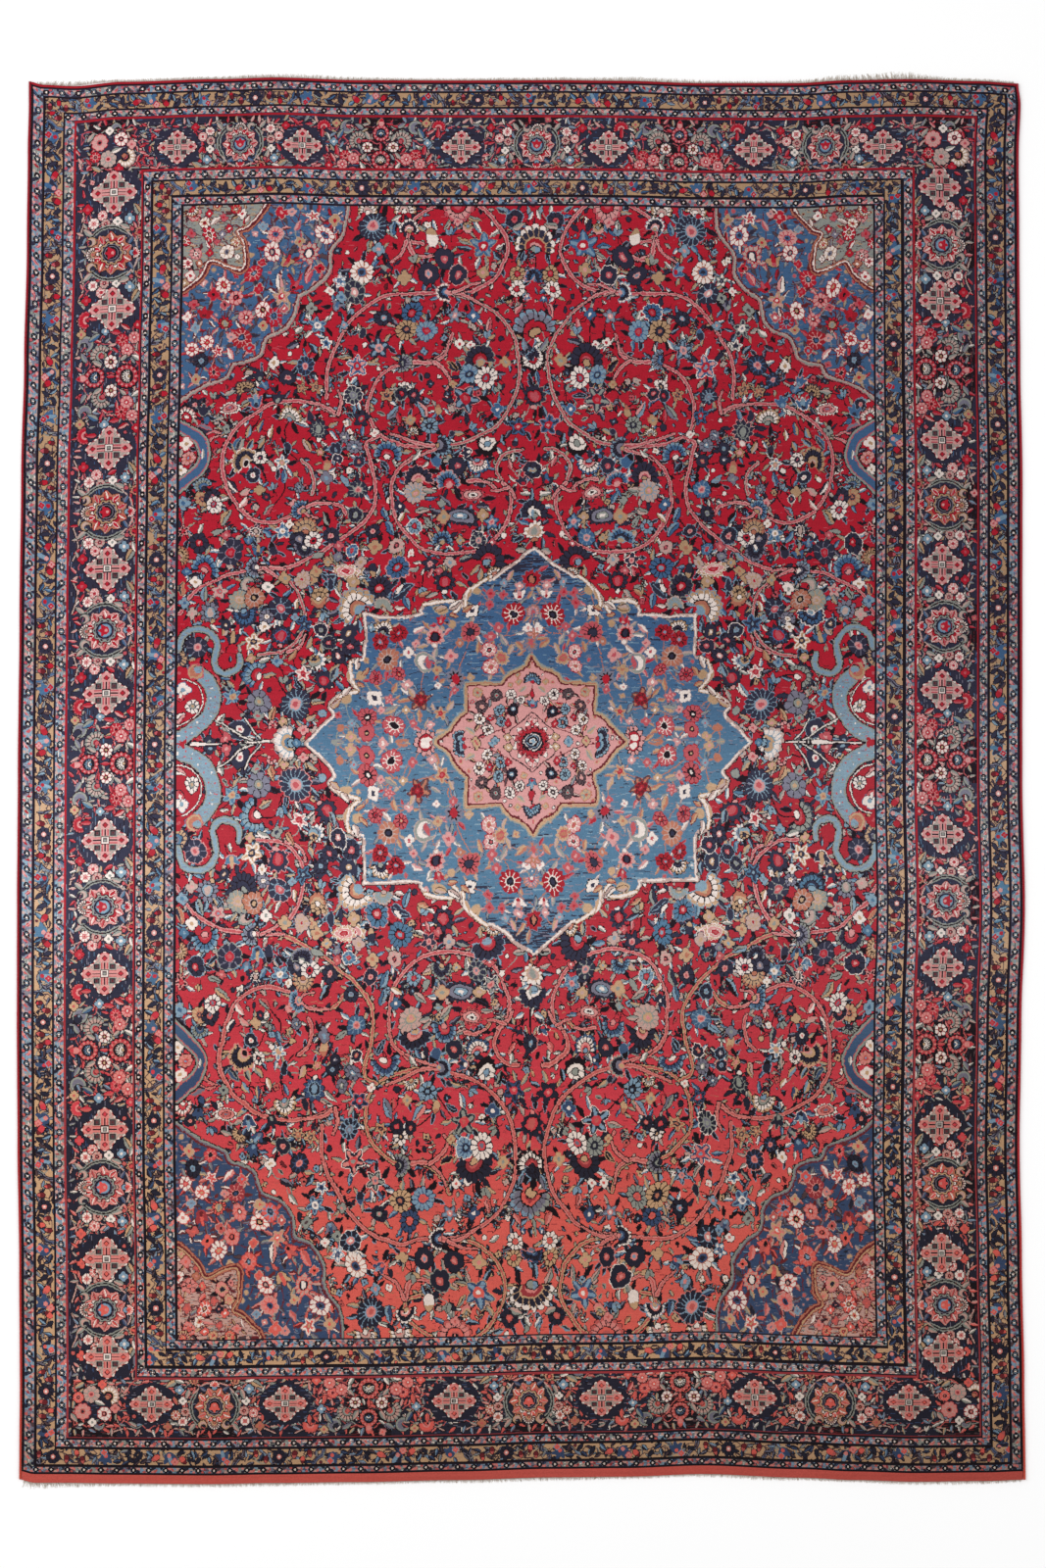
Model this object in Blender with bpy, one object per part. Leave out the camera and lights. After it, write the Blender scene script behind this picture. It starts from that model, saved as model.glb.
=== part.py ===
"""Hand-knotted oriental rug, lying flat, pile side up.

Frame: origin at the centre of the underside, +X to the right and +Y to the
head of the rug as it is looked at from above, +Z up. Metres.

Pieces, as a weaver makes them:
  rug_pile           the knotted body, foundation and pile in one flat sheet
  side_cord_left     selvedge cord, overcast in red wool, along the left side
  side_cord_right    the same along the right side
  fringe_top         worn warp ends along the head, one comb
  fringe_bottom      worn warp ends along the foot, one comb
"""

import math

import bpy

# ---- driving sizes, metres -------------------------------------------------
WIDTH = 3.000            # nominal, over both side cords
LENGTH = 4.194           # nominal, without the fringes
THICK = 0.008            # foundation and clipped pile together
CORD_D = 0.008           # overcast side cord
GAP = 0.0003             # clearance between touching pieces
FRINGE_THICK = 0.0015    # warp ends lying flat
FRINGE_ROOT = 0.003      # unbroken strip at the root of each comb
OUTLINE_STEP = 0.060     # spacing of the stations that all the edges share
TOOTH_PITCH = 0.026      # one tuft and the space after it
TOOTH_SHARE = 0.72       # how much of the pitch the tuft takes

MM = 0.001

# ---- how the hand-made outline wanders from a true rectangle ----------------
# Long sides: share of the length from the foot, then how far the side stands
# outside (+) or inside (-) its nominal line, in millimetres.
#             share   left  right
SIDES = [
    (0.000,    2.0,  13.0),
    (0.070,    0.0,   9.0),
    (0.155,    2.0,   2.0),
    (0.240,    7.0,  -5.0),
    (0.325,    9.0,   0.0),
    (0.410,    8.5,  11.0),
    (0.500,    6.0,   3.0),
    (0.620,    1.0,   3.0),
    (0.720,   -4.0,   3.5),
    (0.800,  -13.0,  -3.0),
    (0.880,  -21.0,  -6.0),
    (0.950,  -24.0,  -8.0),
    (0.985,  -27.0,  -2.0),
    (1.000,  -27.0,  -9.0),
]
# Ends: share of the width from the left, then the same for head and foot.
#             share   head   foot
ENDS = [
    (0.000,   -6.0,  -1.0),
    (0.015,  -16.0,   9.0),
    (0.045,  -20.0,   9.0),
    (0.095,   -7.0,  11.0),
    (0.190,    1.0,  13.0),
    (0.250,    6.0,  10.0),
    (0.335,   -2.0,   7.0),
    (0.435,   -3.0,   1.0),
    (0.530,   -2.0,  -7.0),
    (0.600,   -4.0,  -9.0),
    (0.680,  -11.0,  -17.0),
    (0.775,  -11.0,  -6.0),
    (0.830,   -2.0,   1.0),
    (0.890,    1.0,   6.0),
    (0.960,   -5.0,   4.0),
    (1.000,  -12.0,   0.0),
]
# How far the worn warp ends stand past the pile, in millimetres.
#             share   head   foot
FRINGES = [
    (0.000,    9.0,  22.0),
    (0.045,   17.0,  16.0),
    (0.095,    9.0,  11.0),
    (0.190,    9.0,  12.0),
    (0.285,   14.0,  11.0),
    (0.390,    8.0,  10.0),
    (0.530,   10.0,  12.0),
    (0.630,   14.0,   9.0),
    (0.730,    8.0,  12.0),
    (0.830,   17.0,   8.0),
    (0.875,   24.0,  11.0),
    (0.930,   10.0,  12.0),
    (1.000,    8.0,   9.0),
]


def station(table, column, share):
    """A table's column at a share between its rows, with an eased step."""
    share = min(max(share, table[0][0]), table[-1][0])
    for low, high in zip(table, table[1:]):
        if share <= high[0]:
            t = (share - low[0]) / (high[0] - low[0])
            t = t * t * (3 - 2 * t)
            return (low[column] * (1 - t) + high[column] * t) * MM
    return table[-1][column] * MM


def place(u, v):
    """The point of the rug at shares u across and v up, both 0 to 1."""
    left = -WIDTH / 2 - station(SIDES, 1, v)
    right = WIDTH / 2 + station(SIDES, 2, v)
    head = LENGTH / 2 + station(ENDS, 1, u)
    foot = -LENGTH / 2 - station(ENDS, 2, u)
    return left + (right - left) * u, foot + (head - foot) * v


def shares(length, step):
    count = max(2, round(length / step))
    return [i / count for i in range(count + 1)]


# ---- helpers ---------------------------------------------------------------
def clear_scene():
    for obj in list(bpy.data.objects):
        bpy.data.objects.remove(obj, do_unlink=True)


def material(name, colour, roughness):
    made = bpy.data.materials.new(name)
    made.use_nodes = True
    shader = made.node_tree.nodes["Principled BSDF"]
    shader.inputs["Base Color"].default_value = (*colour, 1.0)
    shader.inputs["Roughness"].default_value = roughness
    shader.inputs["Metallic"].default_value = 0.0
    return made


def flat_outline(name, points, thick, finish, collection):
    """A flat piece: a closed 2-D outline, filled and given its thickness."""
    curve = bpy.data.curves.new(name, "CURVE")
    curve.dimensions = "2D"
    curve.fill_mode = "BOTH"
    curve.extrude = thick / 2
    spline = curve.splines.new("POLY")
    spline.points.add(len(points) - 1)
    for spot, (x, y) in zip(spline.points, points):
        spot.co = (x, y, 0.0, 1.0)
    spline.use_cyclic_u = True
    curve.materials.append(finish)
    obj = bpy.data.objects.new(name, curve)
    obj.location = (0.0, 0.0, thick / 2)
    collection.objects.link(obj)
    return obj


def round_cord(name, points, diameter, finish, collection):
    """A round cord along a smooth line, with filled ends."""
    curve = bpy.data.curves.new(name, "CURVE")
    curve.dimensions = "3D"
    curve.bevel_depth = diameter / 2
    curve.bevel_resolution = 2
    curve.use_fill_caps = True
    spline = curve.splines.new("POLY")
    spline.points.add(len(points) - 1)
    for spot, (x, y, z) in zip(spline.points, points):
        spot.co = (x, y, z, 1.0)
    curve.materials.append(finish)
    obj = bpy.data.objects.new(name, curve)
    collection.objects.link(obj)
    return obj


# ---- the pieces ------------------------------------------------------------
ACROSS = shares(WIDTH, OUTLINE_STEP)
ALONG = shares(LENGTH, OUTLINE_STEP)


def end_edge(end):
    """The end of the knotted body, from left to right, between the cords."""
    inset = CORD_D + GAP
    line = [place(u, float(end)) for u in ACROSS]
    (xa, ya), (xb, yb) = line[0], line[-1]
    return [(xa + inset, ya)] + line[1:-1] + [(xb - inset, yb)]


def pile_outline():
    """Outline of the knotted body, between the two side cords."""
    inset = CORD_D + GAP
    right = [place(1.0, v) for v in ALONG[1:-1]]
    left = [place(0.0, v) for v in reversed(ALONG[1:-1])]
    return (
        end_edge(0)
        + [(x - inset, y) for x, y in right]
        + end_edge(1)[::-1]
        + [(x + inset, y) for x, y in left]
    )


def cord_line(side):
    """Centre line of a side cord: side is 0 for left, 1 for right."""
    inward = CORD_D / 2 if side == 0 else -CORD_D / 2
    line = [place(float(side), v) for v in ALONG]
    return [(x + inward, y, CORD_D / 2) for x, y in line]


def on_edge(edge, x):
    """Height y of an end of the pile at x, between its stations."""
    for (xa, ya), (xb, yb) in zip(edge, edge[1:]):
        if x <= xb:
            return ya + (yb - ya) * (x - xa) / (xb - xa)
    return edge[-1][1]


def comb_outline(end):
    """One fringe: end is 1 for the head, 0 for the foot. A thin root strip
    that follows the end of the pile, with a row of uneven tufts on it."""
    way = 1.0 if end == 1 else -1.0
    column = 1 if end == 1 else 2
    edge = end_edge(end)
    low = edge[0][0] + 0.004
    high = edge[-1][0] - 0.004
    inner = [p for p in edge if low + 0.001 < p[0] < high - 0.001]
    ends = [(low, on_edge(edge, low)), (high, on_edge(edge, high))]
    root = [(x, y + way * GAP) for x, y in ends[:1] + inner + ends[1:]]
    count = int((high - low) / TOOTH_PITCH)
    pitch = (high - low) / (count - 1 + TOOTH_SHARE)
    tips = []
    for i in range(count):
        xa = low + pitch * i
        xb = xa + pitch * TOOTH_SHARE
        share = (xa + xb) / 2 / WIDTH + 0.5
        uneven = 0.82 + 0.18 * math.sin(i * 2.399) + 0.10 * math.sin(i * 0.83)
        reach = max(station(FRINGES, column, share) * uneven, 0.005)
        lean = 0.003 * math.sin(i * 1.37)
        ya, yb = on_edge(edge, xa), on_edge(edge, xb)
        tips += [
            (xa, ya + way * FRINGE_ROOT),
            (xa + lean + 0.002, ya + way * (FRINGE_ROOT + reach)),
            (xb + lean - 0.002, yb + way * (FRINGE_ROOT + reach)),
            (xb, yb + way * FRINGE_ROOT),
        ]
    return root + tips[::-1]


def main():
    clear_scene()
    rug = bpy.data.collections.new("oriental_rug")
    bpy.context.scene.collection.children.link(rug)
    wool = material("pile_wool", (0.33, 0.06, 0.07), 0.95)
    red = material("cord_wool", (0.36, 0.02, 0.03), 0.9)
    cotton = material("fringe_cotton", (0.72, 0.68, 0.58), 0.95)
    flat_outline("rug_pile", pile_outline(), THICK, wool, rug)
    round_cord("side_cord_left", cord_line(0), CORD_D, red, rug)
    round_cord("side_cord_right", cord_line(1), CORD_D, red, rug)
    flat_outline("fringe_top", comb_outline(1), FRINGE_THICK, cotton, rug)
    flat_outline("fringe_bottom", comb_outline(0), FRINGE_THICK, cotton, rug)


main()
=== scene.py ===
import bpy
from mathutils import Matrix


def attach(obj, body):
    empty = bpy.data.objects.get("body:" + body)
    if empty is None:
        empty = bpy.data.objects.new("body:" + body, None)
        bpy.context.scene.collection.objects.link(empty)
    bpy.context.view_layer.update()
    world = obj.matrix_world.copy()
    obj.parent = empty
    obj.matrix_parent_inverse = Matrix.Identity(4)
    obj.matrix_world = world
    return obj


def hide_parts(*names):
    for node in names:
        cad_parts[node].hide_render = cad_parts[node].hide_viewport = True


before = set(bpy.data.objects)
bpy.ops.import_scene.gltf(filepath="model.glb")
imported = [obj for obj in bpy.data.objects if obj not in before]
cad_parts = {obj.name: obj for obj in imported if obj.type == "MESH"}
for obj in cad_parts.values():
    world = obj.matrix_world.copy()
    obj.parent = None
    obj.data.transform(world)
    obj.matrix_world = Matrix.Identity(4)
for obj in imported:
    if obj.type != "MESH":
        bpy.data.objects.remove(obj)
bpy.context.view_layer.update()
import math

import bmesh
import bpy
import numpy as np

# ---------------------------------------------------------------------------
# A hand-knotted oriental rug, looked at from straight above. The pattern is
# worked out knot by knot below, as a weaver's chart, from named motifs and
# tables of where they sit. Each knot is about 2.15 mm square. Metres.
# ---------------------------------------------------------------------------

# ---- the outline, the same as the frame's ----------------------------------
WIDTH, LENGTH = 3.000, 4.194
THICK = 0.008            # foundation and clipped pile together
CORD_D = 0.008           # overcast side cord
GAP = 0.0003
MM = 0.001
#             share   left  right
SIDES = [
    (0.000, 2.0, 13.0), (0.070, 0.0, 9.0), (0.155, 2.0, 2.0), (0.240, 7.0, -5.0),
    (0.325, 9.0, 0.0), (0.410, 8.5, 11.0), (0.500, 6.0, 3.0), (0.620, 1.0, 3.0),
    (0.720, -4.0, 3.5), (0.800, -13.0, -3.0), (0.880, -21.0, -6.0), (0.950, -24.0, -8.0),
    (0.985, -27.0, -2.0), (1.000, -27.0, -9.0),
]
#             share   head   foot
ENDS = [
    (0.000, -6.0, -1.0), (0.015, -16.0, 9.0), (0.045, -20.0, 9.0), (0.095, -7.0, 11.0),
    (0.190, 1.0, 13.0), (0.250, 6.0, 10.0), (0.335, -2.0, 7.0), (0.435, -3.0, 1.0),
    (0.530, -2.0, -7.0), (0.600, -4.0, -9.0), (0.680, -11.0, -17.0), (0.775, -11.0, -6.0),
    (0.830, -2.0, 1.0), (0.890, 1.0, 6.0), (0.960, -5.0, 4.0), (1.000, -12.0, 0.0),
]
#             share   head   foot
FRINGES = [
    (0.000, 9.0, 22.0), (0.045, 17.0, 16.0), (0.095, 9.0, 11.0), (0.190, 9.0, 12.0),
    (0.285, 14.0, 11.0), (0.390, 8.0, 10.0), (0.530, 10.0, 12.0), (0.630, 14.0, 9.0),
    (0.730, 8.0, 12.0), (0.830, 17.0, 8.0), (0.875, 24.0, 11.0), (0.930, 10.0, 12.0),
    (1.000, 8.0, 9.0),
]


def station(table, column, share):
    """A table's column at a share between its rows, with an eased step."""
    share = np.clip(np.asarray(share, float), table[0][0], table[-1][0])
    at = np.array([row[0] for row in table])
    value = np.array([row[column] for row in table])
    low = np.clip(np.searchsorted(at, share, side="right") - 1, 0, len(at) - 2)
    t = (share - at[low]) / (at[low + 1] - at[low])
    t = t * t * (3 - 2 * t)
    return (value[low] * (1 - t) + value[low + 1] * t) * MM


def left_side(v):
    return -WIDTH / 2 - station(SIDES, 1, v)


def right_side(v):
    return WIDTH / 2 + station(SIDES, 2, v)


def head_end(u):
    return LENGTH / 2 + station(ENDS, 1, u)


def foot_end(u):
    return -LENGTH / 2 - station(ENDS, 2, u)


def pile_point(a, b, inset):
    """A point of the knotted body: a across and b up, both 0 to 1."""
    left, right = left_side(b), right_side(b)
    x = left + inset + (right - left - 2 * inset) * a
    u = (x - left) / (right - left)
    foot, head = foot_end(u), head_end(u)
    return x, foot + (head - foot) * b


# ---------------------------------------------------------------------------
# The weaver's chart. One number per knot says which dyed wool it is tied in.
# It is drawn in design units of 2.935 mm, x to the right, y down from the
# head, so that the nominal rug runs from (20, 81.5) to (1042, 1510).
# ---------------------------------------------------------------------------
UNIT = 0.002935
X0, X1, Y0, Y1 = 22.83, 1039.31, 81.0, 1510.0
MID = (543.5, 757.0)          # where the field's four quarters meet
ACROSS_KNOTS, ALONG_KNOTS = 1392, 1956
DYES = "rnblicpksRmvoetg"     # one letter for each dyed wool, see WOOL below
EMPTY = 255
EXACT = {c: i for i, c in enumerate(DYES)}


class Chart:
    """A sheet of knots, each with its dye number."""

    def __init__(self, x0, y0, x1, y1, nx, ny, ground):
        self.x0, self.y0, self.nx, self.ny = x0, y0, nx, ny
        self.dx, self.dy = (x1 - x0) / nx, (y1 - y0) / ny
        self.a = np.full((ny, nx), EXACT[ground], np.uint8)

    def columns(self, i0, i1):
        return self.x0 + (np.arange(i0, i1) + 0.5) * self.dx

    def rows(self, j0, j1):
        return self.y0 + (np.arange(j0, j1) + 0.5) * self.dy

    def window(self, xa, ya, xb, yb):
        i0 = min(max(int((xa - self.x0) / self.dx), 0), self.nx)
        i1 = min(max(int((xb - self.x0) / self.dx) + 1, i0), self.nx)
        j0 = min(max(int((ya - self.y0) / self.dy), 0), self.ny)
        j1 = min(max(int((yb - self.y0) / self.dy) + 1, j0), self.ny)
        x, y = self.columns(i0, i1)[None, :], self.rows(j0, j1)[:, None]
        return (slice(j0, j1), slice(i0, i1)), x, y


def put(out, mask, letter):
    out[mask] = EXACT[letter]


def stamp(chart, kind, x, y, r, wool, turn=0.0, wide=1.0, tall=1.0, flip=1, **more):
    """Draws one motif at (x, y), its top turned clockwise from the head."""
    reach = r * 1.5 * max(wide, tall) + 3
    place, xs, ys = chart.window(x - reach, y - reach, x + reach, y + reach)
    dx, dy = xs - x, ys - y
    if dx.size == 0 or dy.size == 0:
        return
    a = math.radians(turn)
    p = (dx * math.cos(a) + dy * math.sin(a)) * flip / wide
    q = (dx * math.sin(a) - dy * math.cos(a)) / tall
    p, q = np.broadcast_arrays(p, q)
    if LOOSE.on and r > 2.5:
        # no two flowers of a hand-made rug come out alike
        s, bend = LOOSE.rng.uniform(0, 6.28, 4), 0.055 * r
        p, q = (p + bend * np.sin(2.6 * q / r + s[0]) + 0.5 * bend * np.sin(5.3 * q / r + s[1]),
                q + bend * np.sin(2.6 * p / r + s[2]) + 0.5 * bend * np.sin(5.3 * p / r + s[3]))
    out = np.full(p.shape, EMPTY, np.uint8)
    kind(p, q, r, wool, out, **more)
    part = chart.a[place]
    part[out != EMPTY] = out[out != EMPTY]


class LOOSE:
    """How freely the motifs are drawn just now."""
    on = False
    rng = np.random.default_rng(1)


def petals(p, q, n, shift=0.0):
    """(distance, angle, 0 at a petal's middle to 1 between two petals)"""
    rad, th = np.hypot(p, q), np.arctan2(p, q)
    t = (th * n / (2 * math.pi) + shift) % 1.0
    return rad, th, np.abs(t - np.round(t)) * 2


# ---- motifs: p to the motif's right, q to its top, r its radius ------------
def daisy(p, q, r, wool, out, n=None):
    """Many petals. Wool: petal, gap, ring, eye, outline."""
    n = n or max(6, int(round(r * 0.85)) + 2)
    rad, th, w = petals(p, q, n)
    edge = r * (1 - 0.15 * w * w)
    put(out, rad < edge + 0.85, wool[4])
    put(out, rad < edge, wool[0])
    put(out, (rad < edge) & ((1 - w) * rad * math.pi / n < 0.42) & (rad > 0.3 * r), wool[1])
    put(out, rad < 0.45 * r, wool[1])
    put(out, rad < 0.36 * r, wool[2])
    put(out, rad < 0.19 * r, wool[3])


def rosette(p, q, r, wool, out, n=8):
    """A round flower of few broad petals. Wool: body, line, ring, eye, outline."""
    rad, th, w = petals(p, q, n, 0.5)
    edge = r * (1 - 0.13 * w ** 3)
    put(out, rad < edge + 0.8, wool[4])
    put(out, rad < edge, wool[0])
    put(out, (rad < 0.92 * r) & (rad > 0.5 * r) & (w > 0.8) & ((1 - w) * rad < 1.1), wool[1])
    put(out, rad < 0.38 * r + 0.5, wool[1])
    put(out, rad < 0.36 * r, wool[2])
    put(out, rad < 0.17 * r, wool[3])


def quad(p, q, r, wool, out):
    """Four small petals. Wool: petal, eye, outline."""
    rad, th, w = petals(p, q, 4)
    edge = r * (1 - 0.35 * w * w)
    put(out, rad < edge + 0.75, wool[2])
    put(out, rad < edge, wool[0])
    put(out, rad < 0.3 * r, wool[1])


def star(p, q, r, wool, out, n=5, deep=0.5):
    """Pointed petals. Wool: petal, midrib, heart, eye, outline."""
    rad, th, w = petals(p, q, n)
    edge = r * (1 - deep * w)
    put(out, rad < edge + 0.9, wool[4])
    put(out, rad < edge, wool[0])
    put(out, (rad < edge - 1.4) & (w * rad * math.pi / n < 0.09 * r + 0.35), wool[1])
    put(out, rad < 0.36 * r, wool[2])
    put(out, rad < 0.16 * r, wool[3])


def fan(p, q, r, wool, out, n=9, spread=105):
    """A half flower. Wool: petal, tip, gap, heart, inner heart, base, outline."""
    q = q + 0.35 * r
    rad, th = np.hypot(p, q), np.degrees(np.arctan2(p, q))
    t = (th + spread) / (2 * spread) * n
    w = np.abs(t - np.floor(t) - 0.5) * 2
    inside = np.abs(th) < spread
    edge = 1.25 * r * (1 - 0.13 * w * w - 0.10 * (np.abs(th) / spread) ** 2)
    put(out, (rad < edge + 0.9) & (np.abs(th) < spread + 6), wool[6])
    put(out, (rad < edge) & inside, wool[0])
    put(out, (rad > edge * 0.82) & (rad < edge) & inside & (w < 0.75), wool[1])
    put(out, (rad < edge) & inside & ((1 - w) * rad * math.radians(2 * spread) / n / 2 < 0.42), wool[2])
    put(out, (rad < 0.62 * r) & inside, wool[2])
    put(out, (rad < 0.54 * r) & inside, wool[3])
    put(out, (rad < 0.32 * r) & inside, wool[4])
    put(out, (np.hypot(p, (q + 0.12 * r) * 1.2) < 0.34 * r), wool[6])
    put(out, (np.hypot(p, (q + 0.12 * r) * 1.2) < 0.26 * r), wool[5])


def palmette(p, q, r, wool, out, n=11):
    """A serrated lotus. Wool: petal, line, ring, heart, base, outline."""
    rad, th, w = petals(p, q, n)
    up = np.cos(th)
    shape = r * (0.86 + 0.14 * up)
    edge = shape * (1 - 0.26 * w)
    put(out, rad < edge + 0.9, wool[5])
    put(out, rad < edge, wool[0])
    put(out, (rad < edge) & ((1 - w) * rad * math.pi / n < 0.42), wool[1])
    put(out, rad < 0.58 * shape, wool[1])
    put(out, rad < 0.50 * shape, wool[2])
    put(out, np.hypot(p * 1.5, q - 0.05 * r) < 0.36 * r, wool[3])
    put(out, np.hypot(p, (q + 0.72 * r) * 1.2) < 0.26 * r, wool[5])
    put(out, np.hypot(p, (q + 0.72 * r) * 1.2) < 0.19 * r, wool[4])


def leaf(p, q, r, wool, out, bend=0.0, fat=0.40):
    """Wool: one half, other half, outline."""
    t = np.clip(q / r, -1, 1)
    p = p - bend * r * (1 - t * t)
    half = fat * r * np.maximum(1 - t * t, 0) ** 0.8 * (1 - 0.3 * t)
    put(out, (np.abs(p) < half + 0.75) & (np.abs(q) < r + 0.5), wool[2])
    put(out, (np.abs(p) < half) & (p < 0), wool[0])
    put(out, (np.abs(p) < half) & (p >= 0), wool[1])
    if r > 7:
        put(out, (np.abs(p) < 0.4) & (np.abs(q) < 0.7 * r), wool[2])


def tulip(p, q, r, wool, out):
    """A cup with three tips. Wool: side, middle, heart, outline."""
    th = np.arctan2(p, q)
    rad = np.hypot(p, q)
    lobes = np.where(np.abs(th) < 1.35, 0.62 + 0.42 * np.cos(3.3 * th) ** 2, 0.58 + 0.1 * np.cos(th))
    edge = r * lobes
    put(out, rad < edge + 0.8, wool[3])
    put(out, rad < edge, wool[0])
    put(out, (rad < edge) & (np.abs(p) < 0.24 * r) & (q > -0.3 * r), wool[1])
    put(out, np.hypot(p, q + 0.15 * r) < 0.26 * r, wool[2])


def bud(p, q, r, wool, out):
    """A drop. Wool: body, tip, outline."""
    t = np.clip((q + r) / (2 * r), 0, 1)
    half = 0.62 * r * np.sqrt(np.maximum(t * (1 - t), 0)) * 2 * (1.15 - 0.5 * t)
    put(out, (np.abs(p) < half + 0.75) & (q > -r - 0.5) & (q < r + 0.6), wool[2])
    put(out, np.abs(p) < half, wool[0])
    put(out, (np.abs(p) < half) & (q > 0.25 * r), wool[1])


def sprig(p, q, r, wool, out):
    """Three leaves on a stem. Wool: leaf, other leaf, outline."""
    for turn, far, letter in ((-48, 0.50, 0), (48, 0.50, 1), (0, 0.55, 0)):
        a = math.radians(turn)
        u, v = p * math.cos(a) - q * math.sin(a), p * math.sin(a) + q * math.cos(a)
        v = v - far * r
        t = np.clip(v / (0.52 * r), -1, 1)
        half = 0.24 * r * np.maximum(1 - t * t, 0) ** 0.7
        put(out, (np.abs(u) < half + 0.7) & (np.abs(v) < 0.52 * r + 0.5), wool[2])
        put(out, np.abs(u) < half, wool[letter])
    put(out, (np.abs(p) < 0.45) & (q < 0.1 * r) & (q > -0.9 * r), wool[2])


def crescent(p, q, r, wool, out):
    """A curled leaf. Wool: body, inside, outline."""
    outer, inner = np.hypot(p, q), np.hypot(p - 0.45 * r, q - 0.12 * r)
    put(out, (outer < r + 0.8) & (inner > 0.62 * r - 0.6), wool[2])
    put(out, (outer < r) & (inner > 0.62 * r), wool[0])
    put(out, (outer < 0.74 * r) & (inner > 0.66 * r), wool[1])


def eyed(p, q, r, wool, out):
    """A long palmette lying on its side. Wool: spike, body, ring, eye, outline."""
    e = np.hypot(p / 1.0, q / 0.56)
    rad, th, w = petals(p, q, 14)
    edge = r * (1 - 0.24 * w)
    put(out, e < edge + 0.9, wool[4])
    put(out, e < edge, wool[0])
    put(out, e < 0.74 * r, wool[4])
    put(out, e < 0.66 * r, wool[1])
    put(out, e < 0.42 * r, wool[4])
    put(out, e < 0.36 * r, wool[2])
    put(out, e < 0.17 * r, wool[3])


def peony(p, q, r, wool, out):
    """A pale crown over a dark cup. Wool: crown, cup, heart, outline."""
    rad, th, w = petals(p, q, 9)
    edge = r * (1 - 0.16 * w)
    put(out, rad < edge + 0.8, wool[3])
    put(out, rad < edge, wool[0])
    put(out, (rad < edge) & (np.hypot(p, q - 0.42 * r) > 0.82 * r), wool[1])
    put(out, (rad < edge) & (q > 0) & ((1 - w) * rad * math.pi / 9 < 0.4), wool[3])
    put(out, np.hypot(p, q - 0.25 * r) < 0.36 * r, wool[3])
    put(out, np.hypot(p, q - 0.25 * r) < 0.28 * r, wool[2])


def flame(p, q, r, wool, out):
    """A heart with dark spikes in a pale halo. Wool: halo, spike, heart, base."""
    rad, th, w = petals(p, q, 9)
    put(out, (rad < r * (1 - 0.3 * w)) & (q > -0.6 * r), wool[0])
    put(out, (rad < 0.72 * r * (1 - 0.65 * w)) & (q > -0.5 * r), wool[1])
    put(out, np.hypot(p * 1.1, q) < 0.40 * r, wool[2])
    put(out, np.hypot(p, q + 0.62 * r) < 0.24 * r, wool[3])


def square(p, q, r, wool, out):
    """A notched square. Wool: body, centre, outline."""
    m = np.maximum(np.abs(p), np.abs(q)) + 0.28 * np.minimum(np.abs(p), np.abs(q))
    m = m - 0.18 * r * (np.minimum(np.abs(p), np.abs(q)) > 0.5 * r)
    put(out, m < r + 0.8, wool[2])
    put(out, m < r, wool[0])
    put(out, np.maximum(np.abs(p), np.abs(q)) < 0.34 * r, wool[1])


def dot(p, q, r, wool, out):
    """Wool: body, outline."""
    put(out, np.hypot(p, q) < r + 0.75, wool[1])
    put(out, np.hypot(p, q) < r, wool[0])


KINDS = {
    "D": daisy, "O": rosette, "Q": quad, "S": star, "F": fan, "P": palmette,
    "L": leaf, "T": tulip, "B": bud, "Y": sprig, "C": crescent, "E": eyed,
    "N": peony, "H": flame, "W": square, "o": dot,
}


def smooth(points, step=2.0, closed=False):
    """A smooth line through points, as many short steps."""
    pts = np.array(points, float)
    if closed:
        pts = np.vstack([pts[-1], pts, pts[0], pts[1]])
    else:
        pts = np.vstack([2 * pts[0] - pts[1], pts, 2 * pts[-1] - pts[-2]])
    line = []
    for a, b, c, d in zip(pts, pts[1:], pts[2:], pts[3:]):
        count = max(2, int(np.hypot(*(c - b)) / step))
        t = np.linspace(0, 1, count, endpoint=False)[:, None]
        line.append(
            0.5 * (2 * b + (c - a) * t + (2 * a - 5 * b + 4 * c - d) * t ** 2
                   + (3 * b - a - 3 * c + d) * t ** 3)
        )
    line.append(pts[-2][None])
    return np.vstack(line)


def stroke(chart, line, width, letter, teeth=0.0, pitch=5.0, only=None):
    """Draws a line of knots, its edge toothed if asked."""
    line = np.asarray(line, float)
    far = 0.0
    for (xa, ya), (xb, yb) in zip(line, line[1:]):
        long = math.hypot(xb - xa, yb - ya)
        if long == 0:
            continue
        half = width / 2 + teeth * (0.5 + 0.5 * math.sin(far * 2 * math.pi / pitch))
        far += long
        place, x, y = chart.window(min(xa, xb) - half, min(ya, yb) - half, max(xa, xb) + half, max(ya, yb) + half)
        if x.size == 0 or y.size == 0:
            continue
        t = np.clip(((x - xa) * (xb - xa) + (y - ya) * (yb - ya)) / long ** 2, 0, 1)
        near = np.hypot(x - xa - t * (xb - xa), y - ya - t * (yb - ya)) < half
        part = chart.a[place]
        if only is not None:
            near = near & (part == EXACT[only])
        part[near] = EXACT[letter]


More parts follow.
